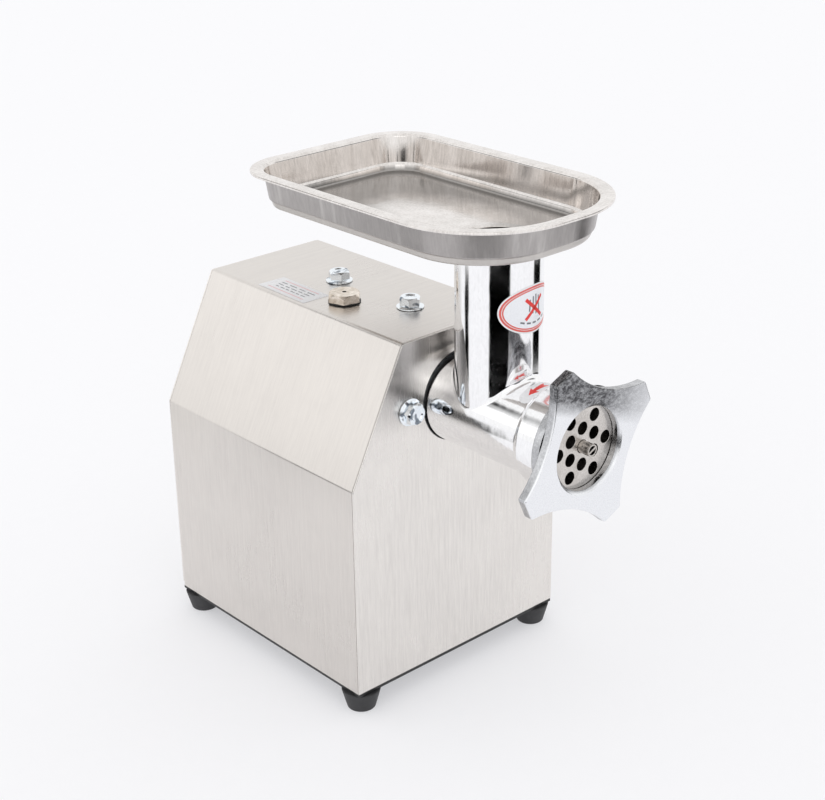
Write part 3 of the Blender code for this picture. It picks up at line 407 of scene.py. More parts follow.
class Finish:
    """A Principled material built up from noise in the object's own space."""

    def __init__(self, name, colour, roughness, metallic=1.0):
        self.material = bpy.data.materials.new(name)
        self.material.use_nodes = True
        self.tree = self.material.node_tree
        self.shader = self.tree.nodes["Principled BSDF"]
        self.shader.inputs["Base Color"].default_value = (*colour, 1)
        self.shader.inputs["Roughness"].default_value = roughness
        self.shader.inputs["Metallic"].default_value = metallic
        self.place = self.node("TexCoord").outputs["Object"]

    def node(self, kind, **values):
        """A new node with the given values in its sockets."""
        made = self.tree.nodes.new("ShaderNode" + kind)
        for socket, value in values.items():
            made.inputs[socket].default_value = value
        return made

    def link(self, source, target):
        self.tree.links.new(source, target)

    def set(self, socket, value):
        self.shader.inputs[socket].default_value = value

    def noise(self, scale, stretch=(1, 1, 1), detail=3.0, rough=0.5, distortion=0.0):
        """Noise whose grains are about 1/scale metres across, closer together where stretch is large."""
        mapping = self.node("Mapping", Scale=[scale * part for part in stretch])
        self.link(self.place, mapping.inputs["Vector"])
        made = self.node("TexNoise", Scale=1, Detail=detail, Roughness=rough, Distortion=distortion)
        self.link(mapping.outputs["Vector"], made.inputs["Vector"])
        return made.outputs["Fac"]

    def scale_range(self, source, low, high, to_low=0.0, to_high=1.0):
        made = self.node("MapRange")
        made.clamp = True
        sockets = ("From Min", "From Max", "To Min", "To Max")
        for socket, value in zip(sockets, (low, high, to_low, to_high)):
            made.inputs[socket].default_value = value
        self.link(source, made.inputs["Value"])
        return made.outputs["Result"]

    def math(self, operation, first, second=0.0):
        made = self.node("Math")
        made.operation = operation
        for socket, value in zip(made.inputs, (first, second)):
            if hasattr(value, "is_linked"):
                self.link(value, socket)
            else:
                socket.default_value = value
        return made.outputs["Value"]

    def plus(self, first, second):
        return self.math("ADD", first, second)

    def times(self, first, second):
        return self.math("MULTIPLY", first, second)

    def weighted(self, first, first_share, second, second_share):
        return self.plus(self.times(first, first_share), self.times(second, second_share))

    def distance(self, first, second):
        """The length of two steps at right angles."""
        return self.math("SQRT", self.plus(self.times(first, first), self.times(second, second)))

    def axis(self, name):
        made = self.node("SeparateXYZ")
        self.link(self.place, made.inputs["Vector"])
        return made.outputs[name]

    def blend(self, factor, first, second):
        """A mix of two colours, each a tuple or a node's output."""
        made = self.node("Mix")
        made.data_type = "RGBA"
        self.link(factor, made.inputs["Factor"])
        for socket, value in ((made.inputs[6], first), (made.inputs[7], second)):
            if hasattr(value, "is_linked"):
                self.link(value, socket)
            else:
                socket.default_value = (*value, 1)
        return made.outputs[2]

    def layered(self, source, low, high, under, over, share=1.0):
        """The colour under, covered by a share of the one over as the source rises from low to high."""
        return self.blend(self.scale_range(source, low, high, 0, share), under, over)

    def colour(self, source):
        self.link(source, self.shader.inputs["Base Color"])

    def roughness(self, source, low, high):
        self.link(self.scale_range(source, 0.3, 0.7, low, high), self.shader.inputs["Roughness"])

    def bump(self, layers):
        """Chained bumps, each a (height source, depth in metres, strength)."""
        normal = None
        for source, depth, strength in layers:
            made = self.node("Bump", Distance=depth, Strength=strength)
            self.link(source, made.inputs["Height"])
            if normal:
                self.link(normal, made.inputs["Normal"])
            normal = made.outputs["Normal"]
        self.link(normal, self.shader.inputs["Normal"])


def brushed(name, grain_stretch, dark, light, roughness, with_painted_reflection=False):
    """Brushed sheet: hairline grain along one direction, soft smudges and faint handling marks.

    Where asked, a painted dark reflection and shade darkens the steel above and to the left of the barrel.
    """
    finish = Finish(name, light, roughness[0])
    hair = finish.noise(1700, grain_stretch, detail=3, rough=0.6)
    streak = finish.noise(420, grain_stretch, detail=3)
    smudge = finish.noise(9, detail=4, rough=0.55, distortion=0.5)
    mottle = finish.noise(60, detail=3, rough=0.5)
    grain = finish.weighted(hair, 0.55, streak, 0.45)
    toned = finish.layered(grain, 0.38, 0.62, dark, light)
    hazed = [min(value * 1.06, 1) for value in light]
    toned = finish.layered(smudge, 0.42, 0.72, toned, hazed, 0.6)
    toned = finish.layered(mottle, 0.5, 0.8, toned, dark, 0.3)
    # Painted reflection and shade: a dark tone above and to the left of the barrel, fading out away from it.
    if with_painted_reflection:
        across = finish.axis("X")
        upward = finish.math("SUBTRACT", finish.axis("Z"), AXIS_Z + 4 * MM)
        reach = finish.distance(across, upward)
        reach = finish.plus(reach, finish.times(smudge, 14 * MM))
        painted_reflection = finish.scale_range(reach, 64 * MM, 100 * MM, 0.85, 0)
        painted_reflection = finish.times(painted_reflection, finish.scale_range(across, -60 * MM, -30 * MM, 1, 0.12))
        painted_reflection = finish.times(painted_reflection, finish.scale_range(upward, -16 * MM, 22 * MM))
        toned = finish.blend(painted_reflection, toned, (0.2, 0.19, 0.19))
    finish.colour(toned)
    gloss = finish.weighted(smudge, 0.6, grain, 0.4)
    finish.roughness(gloss, *roughness)
    finish.bump([(grain, 0.004 * MM, 0.5), (finish.noise(7, detail=2), 0.5 * MM, 0.1)])
    return finish.material


def polished(name, colour, roughness, wave):
    """Ground and polished casting: slow waves in the surface, fine scratches and small pits."""
    finish = Finish(name, colour, roughness[0])
    scratch = finish.noise(420, (1, 1, 0.35), detail=5, rough=0.65, distortion=0.8)
    haze = finish.noise(38, detail=4, rough=0.6)
    dull = [value * 0.92 for value in colour]
    finish.colour(finish.layered(scratch, 0.3, 0.6, dull, colour))
    finish.roughness(haze, *roughness)
    pits = finish.scale_range(finish.noise(650, detail=2), 0.66, 0.74)
    finish.bump([
        (finish.noise(45, (1, 1, 0.5), detail=2), wave, 0.5),
        (scratch, 0.01 * MM, 0.5),
        (pits, -0.02 * MM, 0.5),
    ])
    return finish.material


def ring_casting():
    """Ground aluminium: satin, with a speckled painted dark reflection along the upper hollow and painted
    shade on the sides.
    """
    finish = Finish("ring_casting", (0.86, 0.87, 0.89), 0.2)
    hollow = RING_TURN + math.pi / 4
    across, up = polar(1, hollow)
    sideways = finish.axis("X")
    upright = finish.math("SUBTRACT", finish.axis("Z"), AXIS_Z)
    outward = finish.times(sideways, across)
    outward = finish.plus(outward, finish.times(upright, up))
    along = finish.times(sideways, up)
    along = finish.math("SUBTRACT", along, finish.times(upright, across))
    grain = finish.noise(900, (1, 1, 0.8), detail=5, rough=0.8)
    cloud = finish.noise(60, detail=4, rough=0.6)
    # Painted reflection: a dark band along the upper hollow, fading along it and broken into specks.
    band = finish.scale_range(outward, 21 * MM, 33 * MM)
    fade = finish.scale_range(along, 0, 50 * MM, 1, 0.2)
    shade = finish.times(band, fade)
    shade_speckle = finish.noise(420, (0.6, 1, 1), detail=6, rough=0.8, distortion=0.2)
    speck = finish.scale_range(shade_speckle, 0.36, 0.58, 0.55, 1)
    # Painted shade on the sides, back and skirt, behind the front face.
    side_shade = finish.scale_range(finish.axis("Y"), RING_LOW.y + 1 * MM, RING_LOW.y + 2 * MM, 0, 0.5)
    painted_shade = finish.times(finish.math("MAXIMUM", shade, side_shade), speck)
    satin = finish.layered(grain, 0.3, 0.7, (0.84, 0.85, 0.88), (0.9, 0.91, 0.93))
    finish.colour(finish.blend(painted_shade, satin, (0.07, 0.07, 0.075)))
    finish.roughness(grain, 0.18, 0.32)
    finish.bump([(cloud, 0.3 * MM, 0.2), (grain, 0.04 * MM, 0.5)])
    return finish.material


def worn_metal(name, dark, light, roughness, grain, depth=0.02):
    """Machined, plated or cast metal in two tones, with uneven gloss and a fine surface."""
    finish = Finish(name, light, roughness[0])
    fine = finish.noise(grain, detail=5, rough=0.65)
    patch = finish.noise(55, detail=4, rough=0.6)
    mixed = finish.weighted(fine, 0.55, patch, 0.45)
    finish.colour(finish.layered(mixed, 0.36, 0.62, dark, light))
    finish.roughness(patch, *roughness)
    finish.bump([(fine, depth * MM, 0.6), (patch, 0.08 * MM, 0.2)])
    return finish.material


def zinc_plate():
    """Bright zinc plating: bluish white, with smooth dark patches of painted reflection."""
    finish = Finish("zinc", (0.88, 0.93, 0.97), 0.1)
    reflection_patches = finish.noise(150, detail=1, distortion=0.4)
    fine = finish.noise(700, detail=4)
    clean = finish.layered(fine, 0.3, 0.7, (0.82, 0.88, 0.93), (0.93, 0.96, 0.99))
    # Painted reflection: dark bluish patches over part of each head, standing in for reflections in its
    # facets.
    finish.colour(finish.layered(reflection_patches, 0.56, 0.64, clean, (0.1, 0.13, 0.17), 0.85))
    finish.roughness(fine, 0.05, 0.13)
    finish.bump([(fine, 0.01 * MM, 0.5), (reflection_patches, 0.15 * MM, 0.3)])
    return finish.material


def moulded(name, dark, light, roughness, grain=900, depth=0.03):
    """Moulded rubber or plastic: a fine spark-eroded grain, paler where it has been rubbed."""
    finish = Finish(name, light, roughness[0], 0)
    fine = finish.noise(grain, detail=3, rough=0.6)
    rub = finish.noise(60, detail=5, rough=0.65)
    finish.colour(finish.layered(rub, 0.4, 0.7, dark, light))
    finish.roughness(rub, *roughness)
    finish.bump([(fine, depth * MM, 0.7)])
    return finish.material


def painted(name, dark, light):
    """Hammered paint over a sand casting."""
    finish = Finish(name, light, 0.45, 0.2)
    lumps = finish.noise(260, detail=4, rough=0.6)
    patch = finish.noise(40, detail=4)
    finish.colour(finish.layered(patch, 0.35, 0.65, dark, light))
    finish.roughness(patch, 0.38, 0.6)
    finish.bump([(lumps, 0.2 * MM, 0.5)])
    return finish.material


def winding():
    """Varnished copper wire, wound round the motor's axis."""
    finish = Finish("winding_copper", (0.62, 0.3, 0.16), 0.3)
    wires = finish.node("TexWave", Scale=420, Distortion=1.5, Detail=2)
    finish.link(finish.place, wires.inputs["Vector"])
    strand = wires.outputs["Fac"]
    finish.colour(finish.blend(strand, (0.25, 0.1, 0.05), (0.7, 0.36, 0.2)))
    finish.roughness(finish.noise(80), 0.25, 0.45)
    finish.bump([(strand, 0.25 * MM, 0.8)])
    return finish.material


def tray_sheet():
    """Drawn steel tray: upright draw marks, and a painted dark reflection round the floor's middle."""
    light = (0.87, 0.83, 0.8)
    dark = (0.62, 0.59, 0.565)
    finish = Finish("tray_steel", light, 0.2)
    draw = finish.noise(620, (1, 1, 0.03), detail=4, rough=0.7)
    bands = finish.noise(75, (1, 1, 0.06), detail=3)
    cloud = finish.noise(24, detail=4, rough=0.6, distortion=0.4)
    toned = finish.layered(draw, 0.3, 0.66, dark, light)
    toned = finish.layered(bands, 0.42, 0.7, toned, (0.95, 0.92, 0.9), 0.55)
    toned = finish.layered(cloud, 0.5, 0.75, toned, dark, 0.4)
    # Painted reflection: below the step the floor darkens from its middle out towards its walls.
    middle = (TRAY_LOW + TRAY_HIGH) / 2
    half = (TRAY_HIGH - TRAY_LOW) / 2
    sideways = finish.math("DIVIDE", finish.math("SUBTRACT", finish.axis("X"), middle.x), half.x)
    endways = finish.math("DIVIDE", finish.math("SUBTRACT", finish.axis("Y"), middle.y), half.y)
    reach = finish.plus(finish.distance(sideways, endways), finish.times(cloud, 0.3))
    low = finish.scale_range(finish.axis("Z"), TRAY_STEP_Z, TRAY_STEP_Z - 3 * MM)
    painted_reflection = finish.times(finish.scale_range(reach, 0.38, 0.74, 0, 0.75), low)
    finish.colour(finish.blend(painted_reflection, toned, (0.2, 0.19, 0.18)))
    finish.roughness(cloud, 0.07, 0.14)
    finish.bump([(draw, 0.008 * MM, 0.6), (bands, 0.2 * MM, 0.5), (cloud, 0.3 * MM, 0.12)])
    return finish.material


def tray_outside():
    """The tray's outer faces: duller than the inside, with painted light making the wall paler below the
    step.
    """
    finish = Finish("tray_outside", (0.55, 0.53, 0.52), 0.35)
    draw = finish.noise(620, (1, 1, 0.03), detail=4, rough=0.7)
    bands = finish.noise(110, (1, 1, 0.05), detail=4, rough=0.6)
    cloud = finish.noise(40, detail=4, rough=0.6)
    toned = finish.layered(draw, 0.3, 0.66, (0.38, 0.36, 0.355), (0.46, 0.44, 0.43))
    toned = finish.layered(bands, 0.52, 0.7, toned, (0.7, 0.68, 0.66), 0.4)
    # Painted light: the outer wall below the step is lightened.
    low = finish.scale_range(finish.axis("Z"), TRAY_STEP_Z - 0.5 * MM, TRAY_STEP_Z + 0.5 * MM, 0.7, 0)
    finish.colour(finish.blend(low, toned, (0.66, 0.63, 0.6)))
    finish.roughness(cloud, 0.3, 0.42)
    finish.bump([(draw, 0.012 * MM, 0.7), (bands, 0.25 * MM, 0.5)])
    return finish.material


def paper(name, ground):
    """A glossy paper sticker, slightly uneven."""
    finish = Finish(name, ground, 0.3, 0)
    fibre = finish.noise(900, detail=4)
    shade = [value * 0.93 for value in ground]
    finish.colour(finish.layered(fibre, 0.3, 0.7, shade, ground))
    finish.roughness(finish.noise(90), 0.24, 0.4)
    finish.bump([(fibre, 0.01 * MM, 0.4)])
    return finish.material


def printed(name, ink):
    """Printing ink with a little speckle."""
    finish = Finish(name, ink, 0.35, 0)
    speckle = finish.noise(1500, detail=2)
    pale = [value + (1 - value) * 0.12 for value in ink]
    finish.colour(finish.layered(speckle, 0.52, 0.72, ink, pale))
    finish.roughness(speckle, 0.3, 0.42)
    return finish.material


ROOF_GRAIN = (0.045, 1, 0.045)
FACE_GRAIN = (1, 0.045, 0.045)
STEEL_DARK = (0.67, 0.635, 0.605)
STEEL_LIGHT = (0.735, 0.7, 0.665)
# The front and rear panels' steel: the cabinet's steel painted lighter, as painted light.
LIT_PANEL_DARK = (0.75, 0.72, 0.69)
LIT_PANEL_LIGHT = (0.83, 0.8, 0.765)

FINISHES = {
    "cabinet_steel": brushed("cabinet_steel", ROOF_GRAIN, STEEL_DARK, STEEL_LIGHT, (0.24, 0.36)),
    "tray_steel": tray_sheet(),
    "tray_outside": tray_outside(),
    "polished_casting": polished("polished_casting", (0.97, 0.97, 0.98), (0.04, 0.13), 0.7 * MM),
    "ring_casting": ring_casting(),
    "tool_steel": worn_metal("tool_steel", (0.5, 0.47, 0.44), (0.72, 0.69, 0.66), (0.16, 0.32), 700),
    "tinned_casting": worn_metal(
        "tinned_casting", (0.42, 0.38, 0.34), (0.68, 0.65, 0.62),
        (0.2, 0.4), 300, depth=0.08,
    ),
    "gearbox_casting": painted("gearbox_casting", (0.10, 0.12, 0.13), (0.16, 0.19, 0.2)),
    "gear_steel": worn_metal("gear_steel", (0.32, 0.31, 0.31), (0.56, 0.55, 0.55), (0.22, 0.42), 600),
    "bearing_steel": worn_metal(
        "bearing_steel", (0.5, 0.5, 0.51), (0.75, 0.75, 0.77),
        (0.1, 0.22), 800, depth=0.01,
    ),
    "zinc": zinc_plate(),
    "plug_brass": worn_metal(
        "plug_brass", (0.5, 0.42, 0.33), (0.9, 0.83, 0.75),
        (0.08, 0.18), 240, depth=0.08,
    ),
    "motor_aluminium": worn_metal(
        "motor_aluminium", (0.45, 0.46, 0.47), (0.68, 0.69, 0.7),
        (0.3, 0.5), 220, depth=0.12,
    ),
    "winding_copper": winding(),
    "black_steel": moulded(
        "black_steel", (0.012, 0.012, 0.013), (0.03, 0.03, 0.032),
        (0.35, 0.55), 420, 0.05,
    ),
    "foot_rubber": moulded("foot_rubber", (0.022, 0.022, 0.024), (0.05, 0.05, 0.053), (0.45, 0.7), 700, 0.06),
    "black_plastic": moulded("black_plastic", (0.014, 0.014, 0.015), (0.035, 0.035, 0.037), (0.28, 0.45)),
    "red_plastic": moulded("red_plastic", (0.42, 0.02, 0.014), (0.6, 0.035, 0.025), (0.2, 0.35)),
}
# The front panel's steel, with the painted reflection and shade beside the barrel.
LIT_FACE_STEEL = brushed("lit_face_steel", FACE_GRAIN, LIT_PANEL_DARK, LIT_PANEL_LIGHT, (0.2, 0.32), with_painted_reflection=True)
LIT_REAR_STEEL = brushed("lit_rear_steel", FACE_GRAIN, LIT_PANEL_DARK, LIT_PANEL_LIGHT, (0.2, 0.32))
# Painted shade: near-black steel for the walls of the plate's holes.
HOLE_SHADE_STEEL = worn_metal("hole_shade_steel", (0.02, 0.018, 0.016), (0.06, 0.055, 0.05), (0.45, 0.7), 600)
WHITE_PAPER = paper("white_paper", (0.9, 0.9, 0.92))
BLUE_PAPER = paper("pale_blue_paper", (0.93, 0.95, 0.99))
RED_INK = printed("red_ink", (0.78, 0.022, 0.015))
ROSE_INK = printed("rose_ink", (0.76, 0.12, 0.1))
PINK_INK = printed("pink_ink", (0.82, 0.5, 0.52))
GREY_INK = printed("grey_ink", (0.16, 0.17, 0.19))


# Cabinet ------------------------------------------------------------------------------------


def gable(inset, low=0.0, steps=8):
    """The five-sided end outline of the cabinet, with bent corners, drawn in by an inset."""
    side = HALF_WIDTH - inset
    run = HALF_WIDTH - TOP_HALF_WIDTH
    rise = SHELL_HEIGHT - KINK_HEIGHT
    lean = math.atan2(run, rise)
    kink = KINK_HEIGHT - inset * math.tan(lean / 2)
    top = TOP_HALF_WIDTH - inset * math.tan((math.pi / 2 - lean) / 2)
    ridge = SHELL_HEIGHT - inset
    corners = [(-side, low), (side, low), (side, kink), (top, ridge), (-top, ridge), (-side, kink)]
    bend = max(BEND_RADIUS - inset, 1 * MM)
    return soften(corners, [0, 0, bend, bend, bend, bend], steps)


def open_gable(inset):
    """The same outline, left open along its lower edge and running over the roof."""
    outline = gable(inset)
    return outline[1:] + outline[:1]


def build_wrap():
    """The folded sheet: both sides, both slopes and the roof, with a flange at the rear."""
    front = -(SHEET + 0.3 * MM)
    rear = FRONT_Y - WRAP_HIGH.y
    edge = 0.5 * MM
    flange = SHEET + REAR_FLANGE
    profile = [(0, front), (0, rear), (flange, rear), (flange, rear + SHEET)]
    profile += [(SHEET, rear + SHEET), (SHEET, front)]
    profile = soften(profile, [edge, 2 * MM, edge, edge, edge, edge], 3)
    rows = []
    for inset, depth in profile:
        rows.append([(x, y, depth) for x, y in open_gable(inset)])
    bm = skin(rows, closed_rows=False, closed_loop=True)
    for right in (True, False):
        ends = [vert for vert in bm.verts if abs(vert.co.y) < 1e-6 and (vert.co.x > 0) == right]
        bmesh.ops.contextual_create(bm, geom=ends)
    piece("wrap_shell", bm, "cabinet", "cabinet_steel", TO_CABINET, ["housing_wrap"])


def build_front_panel():
    outlines = [gable(0), circle(BARREL_HOLE, ROUND, (0, AXIS_HEIGHT + BARREL_HOLE_RISE))]
    bm = plate_mesh(outlines, -SHEET, 0, 0.55 * MM)
    piece("panel_shell", bm, "cabinet", "cabinet_steel", TO_CABINET, ["front_panel"], finish=LIT_FACE_STEEL)
    gasket = rectangle((BARREL_RADIUS + 0.3 * MM, -GASKET_DEPTH), (GASKET_RADIUS, -2 * MM))
    piece("barrel_gasket", turned(soften(gasket, 0.3 * MM, 3)), "cabinet", "foot_rubber", TO_AXIS)


def build_rear_panel():
    """The rear cover with two columns of cooling slots and a hole for the switch."""
    outlines = [gable(1 * MM, REAR_LOW.z - EDGE_Z)]
    for side in (-1, 1):
        for height in LOUVRE_HEIGHTS:
            low = (side * 34 * MM - LOUVRE_LENGTH / 2, height * MM)
            slot = rectangle(low, (low[0] + LOUVRE_LENGTH, low[1] + LOUVRE_WIDTH))
            outlines.append(soften(slot, 1.9 * MM, 5))
    middle = middle_of("switch_body").translation
    x, y = middle.x, middle.z - EDGE_Z
    half_width, half_height = SWITCH_HOLE[0] / 2, SWITCH_HOLE[1] / 2
    outlines.append(rectangle((x - half_width, y - half_height), (x + half_width, y + half_height)))
    bm = plate_mesh(outlines, FRONT_Y - REAR_HIGH.y, FRONT_Y - REAR_LOW.y, 0.4 * MM)
    piece("rear_shell", bm, "cabinet", "cabinet_steel", TO_CABINET, ["rear_panel"], finish=LIT_REAR_STEEL)


# Head ---------------------------------------------------------------------------------------


def build_barrel():
    """The horizontal barrel with its collar, bored for the screw and for the plate."""
    seat = PLATE_BACK - 0.3 * MM
    outer = [
        (SPIGOT_BORE, HEAD_REAR),
        (BARREL_RADIUS, HEAD_REAR),
        (BARREL_RADIUS, COLLAR_START - 4 * MM),
        (COLLAR_RADIUS, COLLAR_START),
        (COLLAR_RADIUS, HEAD_FRONT),
        (PLATE_RADIUS + 0.4 * MM, HEAD_FRONT),
        (PLATE_RADIUS + 0.4 * MM, seat),
        (KNIFE_ROOM, seat),
        (KNIFE_ROOM, seat - 10 * MM),
        (BARREL_BORE, seat - 10 * MM),
        (BARREL_BORE, -6 * MM),
        (SPIGOT_BORE, -10 * MM),
    ]
    radii = [0.5, 1, 5, 2.2, 1, 0.4, 0.3, 0.3, 0.3, 0.3, 1, 0.5]
    profile = soften(outer, [radius * MM for radius in radii], 5)
    bm = turned(profile)
    made = piece("head_barrel", bm, "head", "polished_casting", TO_AXIS, ["grinding_head"])
    reach = 60 * MM
    cut(made, turned([(0, 0), (FEED_OPENING, 0), (FEED_OPENING, reach), (0, reach)]), TO_TUBE)
    key = soften(rectangle((-KEY_WIDTH / 2, -36 * MM), (KEY_WIDTH / 2, -33 * MM)), 0.3 * MM)
    key = prism(key, seat - 1 * MM, HEAD_FRONT - 0.5 * MM)
    piece("barrel_key", key, "head", "polished_casting", TO_AXIS)


def build_feed_tube():
    """The upright tube, from its rounded mouth down to the fillet that runs out on the barrel."""
    top = HEAD_HIGH.z - AXIS_Z
    seat = top - 26 * MM
    lip = 1.2 * MM
    wall = [(FEED_RADIUS - inset, top - fall) for inset, fall in quarter_round(lip)]
    inner = [(FEED_BORE + 1 * MM, top), (FEED_BORE, top - 1 * MM), (FEED_BORE, seat)]
    inner.append((THROAT_RADIUS, seat - 1 * MM))
    rows = []
    fillet_steps = 8
    columns = 2 * ROUND
    for step in range(columns):
        angle = math.tau * step / columns
        c, s = polar(1, angle)
        row = []
        across = THROAT_RADIUS * c
        inside = math.sqrt(BARREL_BORE**2 - across**2)
        row.append((across, THROAT_RADIUS * s, inside))
        row += [(radius * c, radius * s, height) for radius, height in inner[::-1]]
        row += [(radius * c, radius * s, height) for radius, height in wall]
        reach = FEED_RADIUS + FILLET
        middle = Vector((reach * c, reach * s, 0))
        middle.z = math.sqrt((BARREL_RADIUS + FILLET) ** 2 - middle.x**2)
        first = Vector((-c, -s, 0))
        last = Vector((-middle.x, 0, -middle.z)).normalized()
        spread = first.angle(last)
        straight = (top - lip - middle.z) / 6
        row += [(FEED_RADIUS * c, FEED_RADIUS * s, middle.z + straight * part) for part in range(5, 0, -1)]
        for part in range(fillet_steps + 1):
            share = part / fillet_steps
            direction = first * math.sin((1 - share) * spread) + last * math.sin(share * spread)
            row.append(tuple(middle + direction / math.sin(spread) * FILLET))
        landing = Vector(row[-1])
        run_out = (landing - Vector(row[-2])).normalized()
        sunk = landing + run_out * 1.5 * MM + last * 0.2 * MM
        row.append(tuple(sunk))
        rows.append(row)
    bm = skin([list(level) for level in zip(*rows)])
    piece("feed_tube", bm, "head", "polished_casting", TO_TUBE, angle=40)


def star_outline():
    """Four flat-ended lobes joined by hollow sides."""
    half = math.asin(RING_TIP_WIDTH / 2 / RING_TIP)

    def lobe(middle):
        ends = [(RING_SHOULDER, -RING_SPREAD), (RING_TIP, -half)]
        ends += [(RING_TIP, half), (RING_SHOULDER, RING_SPREAD)]
        corners = [polar(radius, middle + turn) for radius, turn in ends]
        return soften(corners, 2.6 * MM, 6, closed=False)[1:-1]

    points = []
    for index in range(4):
        middle = RING_TURN + math.tau * index / 4
        tip = lobe(middle)
        waist = polar(RING_WAIST, middle + math.pi / 4)
        points += tip
        points += arc_through(tip[-1], waist, lobe(middle + math.pi / 2)[0], 28)[:-1]
    return points


def build_ring_nut():
    """The hand nut: ground lobes, a bright chamfer round the opening and a turned skirt."""
    star = star_outline()
    turns = [math.atan2(y, x) for x, y in star]
    wing_back = RING_FRONT - RING_WING
    skirt = COLLAR_RADIUS + 3.6 * MM
    bore = COLLAR_RADIUS + 0.3 * MM
    web = RING_FRONT - 7.2 * MM

    def star_row(inset, depth):
        return [(x, y, depth) for x, y in offset_outline(star, inset)]

    def round_row(radius, depth):
        return [(*polar(radius, turn), depth) for turn in turns]

    edge = 1.1 * MM
    rows = [star_row(inset, RING_FRONT - fall) for inset, fall in quarter_round(edge)]
    rows += [star_row(fall, wing_back + inset) for inset, fall in quarter_round(edge)]
    profile = soften(
        [
            (skirt + 3 * MM, wing_back),
            (skirt, wing_back),
            (skirt, RING_BACK),
            (bore, RING_BACK),
            (bore, web),
            (RING_OPENING, web),
            (RING_OPENING, RING_FRONT - RING_CHAMFER),
            (RING_OPENING + RING_CHAMFER, RING_FRONT),
            (RING_OPENING + RING_CHAMFER + 1.2 * MM, RING_FRONT),
        ],
        [0, 1.6 * MM, 0.8 * MM, 0.6 * MM, 0, 0.3 * MM, 0.5 * MM, 0.4 * MM, 0],
        3,
        closed=False,
    )
    rows += [round_row(radius, depth) for radius, depth in profile]
    bm = skin(rows, closed_loop=True)
    piece("ring_nut_casting", bm, "ring", "ring_casting", TO_AXIS, ["ring_nut"], angle=50)


def hole_places():
    inner = [polar(PLATE_PITCH, math.radians(30 + 60 * step)) for step in range(6)]
    outer = [polar(PLATE_PITCH * math.sqrt(3), math.radians(60 * step)) for step in range(6)]
    return inner + outer


def build_plate():
    outlines = [circle(PLATE_RADIUS, ROUND)]
    outlines.append(circle(PIN_RADIUS + 0.3 * MM, SMALL_ROUND))
    outlines += [circle(PLATE_HOLE, SMALL_ROUND, place) for place in hole_places()]
    bm = plate_mesh(outlines, PLATE_BACK, PLATE_FRONT, 0.35 * MM)
    bm.normal_update()
    for face in bm.faces:
        middle = face.calc_center_median()
        inside = math.hypot(middle.x, middle.y) < PLATE_RADIUS - 1 * MM
        # The walls of the holes take the second slot, the painted shade.
        face.material_index = int(inside and abs(face.normal.z) < 0.3)
    made = piece("plate_disc", bm, "plate", "tool_steel", TO_AXIS, ["cutting_plate"])
    made.data.materials.append(HOLE_SHADE_STEEL)
    half = KEY_WIDTH / 2 + 0.4 * MM
    keyway = rectangle((-half, -PLATE_RADIUS - 1 * MM), (half, -PLATE_RADIUS + 2.4 * MM))
    cut(made, prism(keyway, PLATE_BACK - 1 * MM, PLATE_FRONT + 1 * MM), TO_AXIS)


def build_auger_pin():
    """The screw's turned nose, with its shoulder groove and driver slot, which shows in the plate."""
    back = PLATE_BACK + 0.2 * MM
    nose = soften(
        [
            (0, back),
            (PIN_RADIUS, back),
            (PIN_RADIUS, AUGER_TIP - 5.5 * MM),
            (3.4 * MM, AUGER_TIP - 5 * MM),
            (3.4 * MM, AUGER_TIP - 4.2 * MM),
            (PIN_RADIUS, AUGER_TIP - 3.7 * MM),
            (PIN_RADIUS, AUGER_TIP - 1 * MM),
            (3.7 * MM, AUGER_TIP),
            (0, AUGER_TIP),
        ],
        0.35 * MM,
        3,
        closed=False,
    )
    bm = turned(nose, SMALL_ROUND)
    made = piece("auger_nose", bm, "feed_screw", "tinned_casting", TO_AXIS)
    slot = rectangle((-6 * MM, -0.8 * MM), (6 * MM, 0.8 * MM))
    cut(made, prism(slot, AUGER_TIP - 1.6 * MM, AUGER_TIP + 2 * MM), TO_AXIS @ spin(math.radians(25)))


# Tray ---------------------------------------------------------------------------------------


def tray_outline(inset, steps=18, sides=10):
    """The tray's plan, drawn in by an inset, with points along its straight sides too."""
    side = TRAY_HALF - inset
    front = -(TRAY_FRONT - FEED_FORWARD) + inset
    back = TRAY_BACK + FEED_FORWARD - inset
    corners = [(-side, front), (side, front), (side, back), (-side, back)]
    wide = TRAY_WIDE_RADIUS - inset
    small = TRAY_SMALL_RADIUS - inset
    arcs = soften(corners, [wide, wide, small, small], steps)
    points = []
    for index, point in enumerate(arcs):
        points.append(point)
        if (index + 1) % (steps + 1) == 0:
            following = arcs[(index + 1) % len(arcs)]
            for step in range(1, sides):
                share = step / sides
                points.append(tuple(Vector(point).lerp(Vector(following), share)))
    return points


